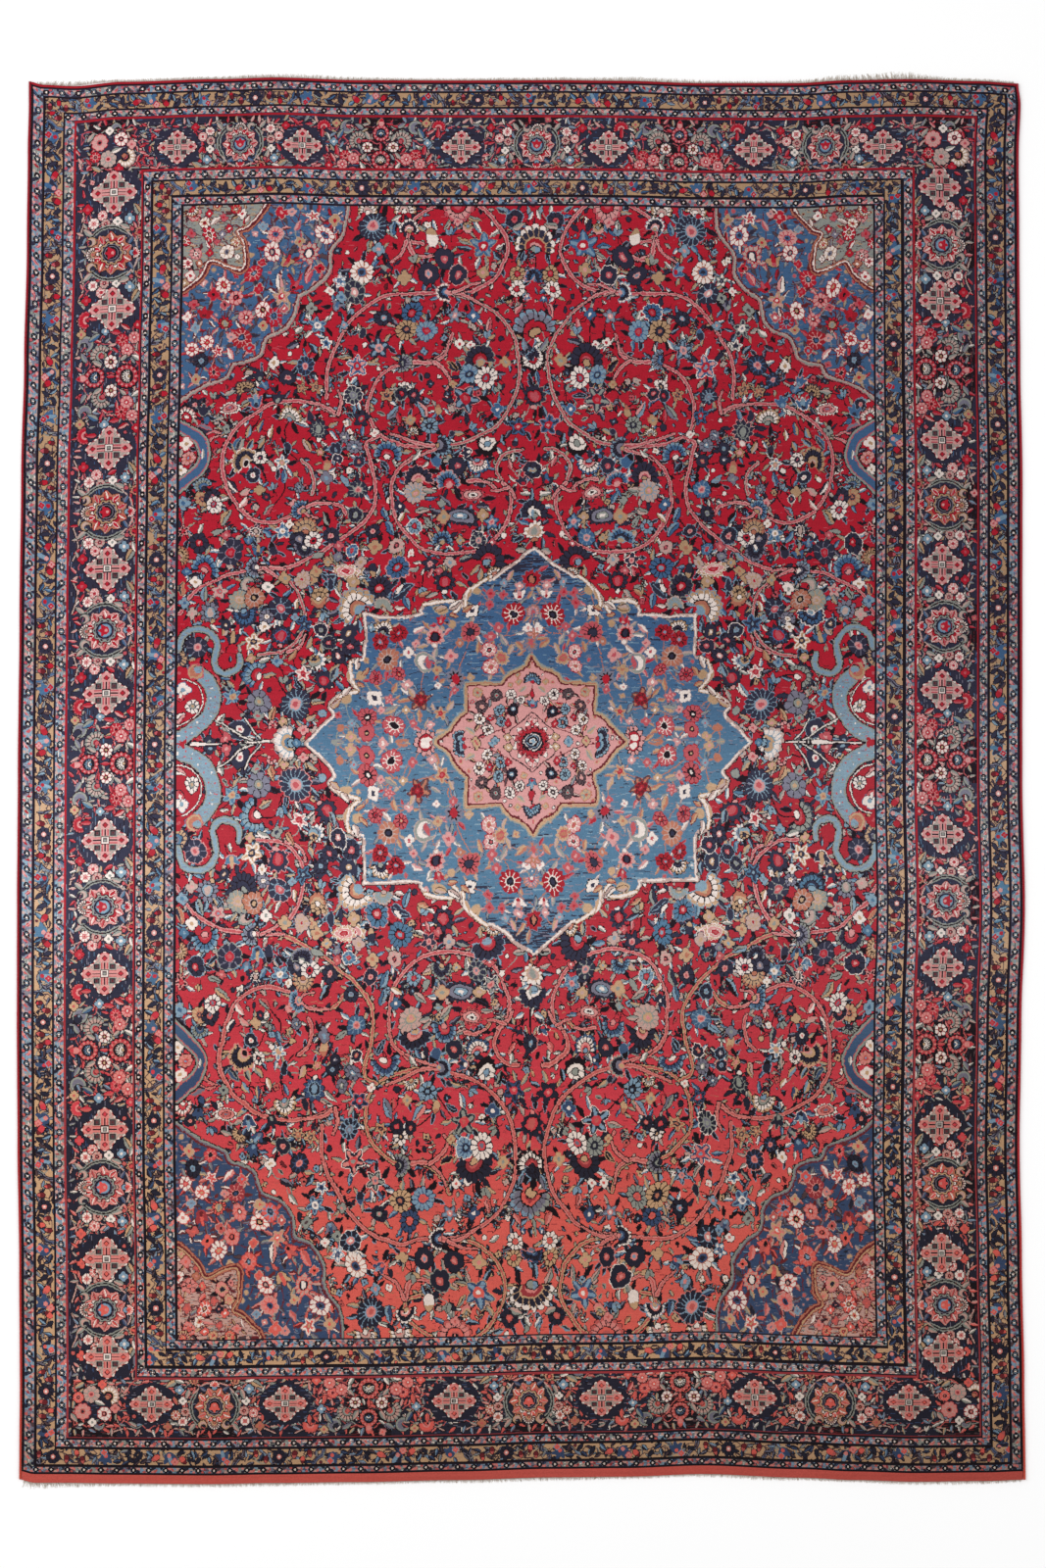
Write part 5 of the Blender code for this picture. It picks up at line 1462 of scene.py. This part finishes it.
    # the edge is folded into lanes, one above the other
    lanes, at = 8, fl + bl
    u0, v0, u1, v1 = EDGE_STRIP
    lane = (v1 - v0) / lanes
    rows_done = []
    for k in range(count):
        where = k / count * lanes
        row = min(int(where), lanes - 1)
        s0, s1 = where - row, min(where - row + lanes / count, 1.0)
        xa, xb = u0 + (u1 - u0) * s0, u0 + (u1 - u0) * s1
        ya = v0 + lane * row
        bake[at : at + 4] = [(xa, ya + lane * 0.9), (xb, ya + lane * 0.9), (xb, ya + lane * 0.6), (xa, ya + lane * 0.6)]
        at += 4
    for k in range(0, count, 2):
        where = k / count * lanes
        row = min(int(where), lanes - 1)
        s0, s1 = where - row, min(where - row + 2 * lanes / count, 1.0)
        xa, xb = u0 + (u1 - u0) * s0, u0 + (u1 - u0) * s1
        ya = v0 + lane * row
        bake[at : at + 5] = [(xa, ya + lane * 0.55), ((xa + xb) / 2, ya + lane * 0.55), (xb, ya + lane * 0.55), (xb, ya + lane * 0.1), (xa, ya + lane * 0.1)]
        at += 5
    bake_layer = mesh.uv_layers.new(name="OFBake")
    bake_layer.data.foreach_set("uv", bake.astype(np.float32).ravel())
    mesh.validate()
    mesh.update()
    obj = bpy.data.objects.new("wool_pile", mesh)
    bpy.context.scene.collection.objects.link(obj)
    return obj


# ---- the wools: sRGB as they look in the light of the picture ---------------
#         letter   head             middle           foot
WOOL = {
    "r": ((180, 31, 49), (176, 48, 60), (197, 60, 70)),
    "n": ((48, 46, 64), (57, 57, 76), (38, 36, 48)),
    "b": ((66, 98, 136), (90, 126, 154), (56, 71, 100)),
    "l": ((124, 150, 170), (138, 164, 180), (122, 146, 164)),
    "i": ((236, 220, 212), (238, 224, 216), (228, 210, 198)),
    "c": ((180, 144, 112), (200, 164, 132), (190, 150, 114)),
    "p": ((212, 148, 146), (216, 156, 154), (210, 126, 118)),
    "k": ((32, 22, 28), (38, 28, 36), (28, 20, 24)),
    "s": ((144, 146, 140), (152, 154, 148), (138, 138, 128)),
    "R": ((160, 30, 42), (166, 40, 50), (150, 54, 58)),
    "m": ((100, 32, 40), (108, 38, 46), (104, 36, 40)),
    "v": ((122, 118, 134), (132, 130, 146), (112, 106, 118)),
    "o": ((186, 82, 92), (194, 92, 98), (186, 88, 82)),
    "e": ((188, 160, 152), (196, 168, 160), (190, 148, 136)),
    "t": ((176, 108, 88), (190, 122, 100), (178, 108, 84)),
    "g": ((86, 66, 72), (94, 76, 80), (80, 60, 62)),
}


DEPTH = 0.83                # all the dyes taken down together, for the studio's light


def linear(rgb):
    c = np.array(rgb, float) / 255
    return tuple(np.where(c <= 0.04045, c / 12.92, ((c + 0.055) / 1.055) ** 2.4) * DEPTH) + (1.0,)


class Nodes:
    """Short names for building a material."""

    def __init__(self, name):
        self.material = bpy.data.materials.new(name)
        self.material.use_nodes = True
        self.tree = self.material.node_tree
        self.shader = self.tree.nodes["Principled BSDF"]

    def node(self, kind, **props):
        made = self.tree.nodes.new(kind)
        for key, value in props.items():
            setattr(made, key, value)
        return made

    def join(self, source, target):
        self.tree.links.new(source, target)

    def feed(self, socket, value):
        if isinstance(value, (int, float, tuple)):
            socket.default_value = value
        else:
            self.join(value, socket)

    def math(self, operation, *values):
        made = self.node("ShaderNodeMath", operation=operation)
        for socket, value in zip(made.inputs, values):
            self.feed(socket, value)
        return made.outputs[0]

    def ramp(self, factor, stops, interpolation="LINEAR"):
        made = self.node("ShaderNodeValToRGB")
        made.color_ramp.interpolation = interpolation
        points = made.color_ramp.elements
        while len(points) < len(stops):
            points.new(0.5)
        for k, (at, colour) in enumerate(stops):
            points[k].position = at
        for k, (at, colour) in enumerate(stops):
            points[k].color = colour if isinstance(colour, tuple) else (colour, colour, colour, 1.0)
        self.feed(made.inputs[0], factor)
        return made.outputs[0]

    def mix(self, factor, first, second, blend="MIX"):
        made = self.node("ShaderNodeMix", data_type="RGBA", blend_type=blend)
        self.feed(made.inputs[0], factor)
        self.feed(made.inputs[6], first)
        self.feed(made.inputs[7], second)
        return made.outputs[2]

    def noise(self, where, scale, detail=2.0, rough=0.5):
        made = self.node("ShaderNodeTexNoise")
        made.inputs["Scale"].default_value = scale
        made.inputs["Detail"].default_value = detail
        made.inputs["Roughness"].default_value = rough
        self.join(where, made.inputs["Vector"])
        return made.outputs[0]

    def stretched(self, where, scale):
        made = self.node("ShaderNodeMapping")
        made.inputs["Scale"].default_value = scale
        self.join(where, made.inputs["Vector"])
        return made.outputs[0]

    def bump(self, height, strength, distance, normal=None):
        made = self.node("ShaderNodeBump")
        made.inputs["Strength"].default_value = strength
        made.inputs["Distance"].default_value = distance
        self.join(height, made.inputs["Height"])
        if normal is not None:
            self.join(normal, made.inputs["Normal"])
        return made.outputs[0]


def lane(y):
    """Share of the length from the foot, of a design row y."""
    return (1510.0 - y) / 1429.0


# painted light and shade, multiplied into the pile's colour: brightness along the length, from the foot, and across,
# from the left
ALONG_PAINTED_LIGHT = [(0.0, 0.70), (0.03, 0.84), (0.08, 1.00), (0.16, 1.01), (0.30, 1.07), (0.42, 1.16), (0.50, 1.13), (0.58, 1.00), (0.66, 0.95), (0.75, 0.92), (0.86, 0.95), (0.95, 0.97), (1.0, 0.95)]
ACROSS_PAINTED_LIGHT = [(0.0, 1.20), (0.23, 1.08), (0.5, 1.0), (0.78, 0.91), (1.0, 0.83)]
LIGHT_SCALE = 0.5            # a ramp holds 0 to 1, so these are halved there


def wool_pile_material():
    m = Nodes("wool_pile_dyed")
    uv = m.node("ShaderNodeUVMap", uv_map="knot").outputs[0]
    split = m.node("ShaderNodeSeparateXYZ")
    m.join(uv, split.inputs[0])
    col = m.math("MINIMUM", m.math("FLOOR", m.math("MULTIPLY", split.outputs[0], 6.0)), 5.0)
    row = m.math("MINIMUM", m.math("FLOOR", m.math("MULTIPLY", m.math("SUBTRACT", 1.0, split.outputs[1]), 6.0)), 5.0)
    code = None
    for part, first in (("rows_a", 0), ("rows_b", 3)):
        attribute = m.node("ShaderNodeAttribute", attribute_name=part, attribute_type="GEOMETRY")
        pieces = m.node("ShaderNodeSeparateXYZ")
        m.join(attribute.outputs["Vector"], pieces.inputs[0])
        for k in range(3):
            here = m.math("COMPARE", row, float(first + k), 0.4)
            term = m.math("MULTIPLY", here, pieces.outputs[k])
            code = term if code is None else m.math("ADD", code, term)
    scale = None
    for k in range(6):
        term = m.math("MULTIPLY", m.math("COMPARE", col, float(k), 0.4), 16.0 ** -k)
        scale = term if scale is None else m.math("ADD", scale, term)
    x = m.math("FLOOR", m.math("MULTIPLY", code, scale))
    dye = m.math("SUBTRACT", x, m.math("MULTIPLY", m.math("FLOOR", m.math("MULTIPLY", x, 0.0625)), 16.0))
    pick = m.math("MULTIPLY", m.math("ADD", dye, 0.5), 0.0625)
    lots = [m.ramp(pick, [(k / 16, linear(WOOL[c][lot])) for k, c in enumerate(DYES)], "CONSTANT") for lot in range(3)]
    where = m.node("ShaderNodeTexCoord").outputs["Object"]
    at = m.node("ShaderNodeSeparateXYZ")
    m.join(where, at.inputs[0])
    up = m.math("ADD", m.math("MULTIPLY", at.outputs[1], 1 / LENGTH), 0.5)
    across = m.math("ADD", m.math("MULTIPLY", at.outputs[0], 1 / WIDTH), 0.5)
    # new lots of wool were begun on wandering lines
    uneven = m.noise(m.stretched(where, (0.6, 5.0, 1.0)), 1.0, 2.0)
    lot_at = m.math("ADD", up, m.math("MULTIPLY", m.math("SUBTRACT", uneven, 0.5), 0.05))
    low_lot = m.ramp(lot_at, [(lane(1120), 1.0), (lane(905), 0.0)], "EASE")
    high_lot = m.ramp(lot_at, [(lane(800), 0.0), (lane(655), 1.0)], "EASE")
    colour = m.mix(low_lot, m.mix(high_lot, lots[1], lots[0]), lots[2])
    # the last red of the ground, a brick red, in wandering patches
    last = m.node("ShaderNodeRGB").outputs[0]
    last.default_value = linear((214, 93, 82))
    is_ground = m.math("COMPARE", pick, (DYES.index("r") + 0.5) / 16)
    is_ground.node.inputs[2].default_value = 0.03
    last_lot = m.ramp(lot_at, [(lane(1262), 1.0), (lane(1120), 0.0)], "EASE")
    colour = m.mix(m.math("MULTIPLY", is_ground, last_lot), colour, last)
    # knots differ a little, rows of them a little more
    cell = m.node("ShaderNodeVectorMath", operation="FLOOR")
    m.join(m.stretched(where, (464.0, 466.0, 1.0)), cell.inputs[0])
    flecks = m.node("ShaderNodeTexWhiteNoise", noise_dimensions="3D")
    m.join(cell.outputs[0], flecks.inputs["Vector"])
    streak = m.noise(m.stretched(where, (2.0, 150.0, 1.0)), 1.0, 3.0)
    cloud = m.noise(where, 5.0, 3.0)
    light = m.math("ADD", 1.0, m.math("MULTIPLY", m.math("SUBTRACT", flecks.outputs["Value"], 0.5), 0.26))
    light = m.math("ADD", light, m.math("MULTIPLY", m.math("SUBTRACT", streak, 0.5), 0.30))
    light = m.math("ADD", light, m.math("MULTIPLY", m.math("SUBTRACT", cloud, 0.5), 0.16))
    # painted light and shade: the pile's colour is made brighter at the left and at the middle of the length, and
    # darker at the right and towards the foot
    for axis, table in ((up, ALONG_PAINTED_LIGHT), (across, ACROSS_PAINTED_LIGHT)):
        level = m.ramp(axis, [(s, v * LIGHT_SCALE) for s, v in table], "EASE")
        light = m.math("MULTIPLY", light, m.math("MULTIPLY", level, 1 / LIGHT_SCALE))
    shade = m.node("ShaderNodeVectorMath", operation="SCALE")
    m.join(colour, shade.inputs[0])
    m.join(light, shade.inputs["Scale"])
    m.join(shade.outputs[0], m.shader.inputs["Base Color"])
    # knots stand up a little, and the nap is uneven
    knots = m.node("ShaderNodeTexVoronoi", feature="F1")
    knots.inputs["Scale"].default_value = 1.0
    m.join(m.stretched(where, (464.0, 466.0, 60.0)), knots.inputs["Vector"])
    tops = m.math("SUBTRACT", 1.0, knots.outputs["Distance"])
    fine = m.bump(tops, 0.30, 0.0010)
    nap = m.bump(m.noise(m.stretched(where, (14.0, 60.0, 4.0)), 1.0, 3.0), 0.25, 0.004, fine)
    m.join(nap, m.shader.inputs["Normal"])
    m.shader.inputs["Roughness"].default_value = 0.95
    m.shader.inputs["Specular IOR Level"].default_value = 0.12
    m.shader.inputs["Sheen Weight"].default_value = 0.0
    return m.material


def cord_material():
    m = Nodes("overcast_wool")
    where = m.node("ShaderNodeTexCoord").outputs["Object"]
    at = m.node("ShaderNodeSeparateXYZ")
    m.join(where, at.inputs[0])
    up = m.math("ADD", m.math("MULTIPLY", at.outputs[1], 1 / LENGTH), 0.5)
    colour = m.ramp(up, [(0.0, linear((196, 78, 62))), (0.08, linear((190, 62, 56))), (0.30, linear((168, 40, 50))), (1.0, linear((160, 34, 48)))])
    turns = m.noise(m.stretched(where, (20.0, 420.0, 20.0)), 1.0, 2.0)
    light = m.math("ADD", 0.82, m.math("MULTIPLY", turns, 0.36))
    shade = m.node("ShaderNodeVectorMath", operation="SCALE")
    m.join(colour, shade.inputs[0])
    m.join(light, shade.inputs["Scale"])
    m.join(shade.outputs[0], m.shader.inputs["Base Color"])
    m.join(m.bump(m.noise(where, 900.0, 2.0), 0.4, 0.0006), m.shader.inputs["Normal"])
    m.shader.inputs["Roughness"].default_value = 0.92
    m.shader.inputs["Specular IOR Level"].default_value = 0.15
    return m.material


def fringe_material():
    m = Nodes("fringe_cotton_worn")
    where = m.node("ShaderNodeTexCoord").outputs["Object"]
    spots = m.noise(m.stretched(where, (120.0, 40.0, 10.0)), 1.0, 3.0)
    colour = m.ramp(spots, [(0.30, linear((170, 150, 128))), (0.55, linear((212, 198, 180))), (0.75, linear((240, 232, 220)))])
    m.join(colour, m.shader.inputs["Base Color"])
    m.join(m.bump(m.noise(m.stretched(where, (2200.0, 700.0, 700.0)), 1.0, 2.0), 0.4, 0.0005), m.shader.inputs["Normal"])
    m.shader.inputs["Roughness"].default_value = 0.95
    m.shader.inputs["Specular IOR Level"].default_value = 0.1
    return m.material


# ---- the side cords: a core wrapped in turns of red wool --------------------
def make_cord(name, side):
    step, sides, turn = 0.0010, 12, 0.0036
    count = int(LENGTH / step)
    v = np.linspace(0, 1, count + 1)
    u = np.full_like(v, float(side))
    edge_x = left_side(v) if side == 0 else right_side(v)
    foot, head = foot_end(u), head_end(u)
    y = foot + (head - foot) * v
    inward = CORD_D / 2 if side == 0 else -CORD_D / 2
    x = edge_x + inward
    ang = np.linspace(0, 2 * math.pi, sides, endpoint=False)
    far = v * LENGTH
    phase = 2 * math.pi * far[:, None] / turn + ang[None, :]
    r = CORD_D / 2 - 0.00035 * (0.5 - 0.5 * np.cos(phase))
    r = r - 0.0003 * (0.5 + 0.5 * np.sin(far * 31.0))[:, None]
    px = x[:, None] + r * np.cos(ang)
    pz = CORD_D / 2 + r * np.sin(ang)
    py = np.broadcast_to(y[:, None], px.shape)
    points = np.stack([px, py, pz], -1).reshape(-1, 3)
    j, i = np.meshgrid(np.arange(count), np.arange(sides), indexing="ij")
    a = j * sides + i
    b = j * sides + (i + 1) % sides
    quads = np.stack([a, b, b + sides, a + sides], -1).reshape(-1, 4)[:, ::-1]
    faces = [tuple(f) for f in quads.tolist()]
    faces.append(tuple(range(sides)))
    faces.append(tuple(range(count * sides, (count + 1) * sides))[::-1])
    mesh = bpy.data.meshes.new(name)
    mesh.from_pydata(points.tolist(), [], faces)
    mesh.update()
    obj = bpy.data.objects.new(name, mesh)
    bpy.context.scene.collection.objects.link(obj)
    tidy(obj)
    return obj


def tidy(obj):
    """Outward normals, smooth shading."""
    made = bmesh.new()
    made.from_mesh(obj.data)
    bmesh.ops.recalc_face_normals(made, faces=made.faces)
    made.to_mesh(obj.data)
    made.free()
    obj.data.shade_smooth()


# ---- the fringes: worn warp ends, in pairs and small tufts ------------------
def make_fringe(name, end, seed):
    rng = np.random.default_rng(seed)
    way = 1.0 if end == 1 else -1.0
    column = 1 if end == 1 else 2
    low = -WIDTH / 2 - float(station(SIDES, 1, end)) + CORD_D + 0.005
    high = WIDTH / 2 + float(station(SIDES, 2, end)) - CORD_D - 0.005
    full = high - low
    strands = int(full / 0.0015)
    points, faces = [], []
    pulled = np.cumsum(rng.normal(0, 0.5, strands))
    for k in range(strands):
        x0 = low + full * (k + 0.5) / strands + rng.normal(0, 0.0002)
        share = (x0 + WIDTH / 2) / WIDTH
        edge_y = float(head_end(share) if end == 1 else foot_end(share))
        reach = float(station(FRINGES, column, share))
        reach *= rng.uniform(0.55, 1.05) if rng.random() < 0.75 else rng.uniform(0.25, 0.7)
        reach = max(reach, 0.003)
        tuft = math.sin(k * 0.42 + 1.7 * math.sin(k * 0.031))
        lean = 0.30 * math.sin(k * 0.021 + 0.8 * end) + 0.35 * tuft * -0.6 + rng.normal(0, 0.16)
        curl = rng.normal(0, 0.25)
        r = rng.uniform(0.00045, 0.00062)
        steps = 5
        base = len(points)
        for s in range(steps + 1):
            t = s / steps
            x = x0 + reach * (lean * t + curl * t * t * 0.6)
            y = edge_y + way * (GAP + reach * t * (1 - 0.10 * abs(lean)))
            z = 0.00062 + 0.0021 * (1 - t) ** 2 + 0.0003 * math.sin(k * 1.7 + t * 5)
            rr = r * (1 - 0.45 * t)
            for c in range(3):
                g = 2 * math.pi * (c / 3 + k * 0.13)
                points.append((x + rr * math.cos(g), y, max(z, rr) + rr * math.sin(g)))
        for s in range(steps):
            for c in range(3):
                p, q = base + s * 3 + c, base + s * 3 + (c + 1) % 3
                faces.append((p, q, q + 3, p + 3))
        faces.append((base + 2, base + 1, base))
        e = base + steps * 3
        faces.append((e, e + 1, e + 2))
    mesh = bpy.data.meshes.new(name)
    mesh.from_pydata(points, [], faces)
    mesh.update()
    obj = bpy.data.objects.new(name, mesh)
    bpy.context.scene.collection.objects.link(obj)
    tidy(obj)
    return obj


chart = draw_chart()
pile = make_pile(chart)
pile.data.materials.append(wool_pile_material())
cord_left = make_cord("overcast_left", 0)
cord_right = make_cord("overcast_right", 1)
cord_wool = cord_material()
for piece in (cord_left, cord_right):
    piece.data.materials.append(cord_wool)
fringe_top = make_fringe("warp_fringe_top", 1, 11)
fringe_bottom = make_fringe("warp_fringe_bottom", 0, 12)
cotton = fringe_material()
for piece in (fringe_top, fringe_bottom):
    piece.data.materials.append(cotton)

for piece, node, slot in (
    (pile, "rug_pile", "pile_wool"),
    (cord_left, "side_cord_left", "cord_wool"),
    (cord_right, "side_cord_right", "cord_wool"),
    (fringe_top, "fringe_top", "fringe_cotton"),
    (fringe_bottom, "fringe_bottom", "fringe_cotton"),
):
    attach(piece, "root")
    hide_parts(node)

# ---- the studio ---------------------------------------------------------------
floor_mesh = bpy.data.meshes.new("floor")
floor_mesh.from_pydata([(-20, -20, 0), (20, -20, 0), (20, 20, 0), (-20, 20, 0)], [], [(0, 1, 2, 3)])
floor = bpy.data.objects.new("floor", floor_mesh)
floor.location.z = -0.0004
bpy.context.scene.collection.objects.link(floor)
paper = Nodes("studio_floor")
paper.shader.inputs["Base Color"].default_value = (0.985, 0.985, 0.985, 1)
paper.shader.inputs["Roughness"].default_value = 0.9
paper.shader.inputs["Specular IOR Level"].default_value = 0.1
floor_mesh.materials.append(paper.material)

world = bpy.data.worlds.new("studio")
world.use_nodes = True
world.node_tree.nodes["Background"].inputs[0].default_value = (1, 1, 1, 1)
world.node_tree.nodes["Background"].inputs[1].default_value = 0.656
bpy.context.scene.world = world


def soft_light(name, place, size, power):
    data = bpy.data.lights.new(name, "AREA")
    data.shape = "RECTANGLE"
    data.size, data.size_y = size
    data.energy = power
    lamp = bpy.data.objects.new(name, data)
    lamp.location = place
    aim = -np.array(place)
    flat = math.hypot(aim[0], aim[1])
    lamp.rotation_euler = (math.atan2(flat, -aim[2]), 0, math.atan2(-aim[0], aim[1]))
    bpy.context.scene.collection.objects.link(lamp)
    return lamp


soft_light("left_bank", (-6.5, 2.0, 7.5), (6.0, 8.0), 427)
soft_light("right_bank", (6.5, -1.0, 8.5), (6.0, 8.0), 213)

lens = bpy.data.cameras.new("above")
lens.type = "PERSP"
lens.sensor_fit = "VERTICAL"
lens.sensor_height = 36.0
DISTANCE = 15.0
lens.lens = 36.0 * (DISTANCE - THICK) / (1600 * UNIT)
lens.clip_end = 60.0
camera = bpy.data.objects.new("above", lens)
camera.location = ((533.5 - 531.0) * UNIT, (795.5 - 800.0) * UNIT, DISTANCE)
bpy.context.scene.collection.objects.link(camera)
bpy.context.scene.camera = camera
bpy.context.scene.view_settings.view_transform = "Standard"
bpy.context.scene.view_settings.look = "None"
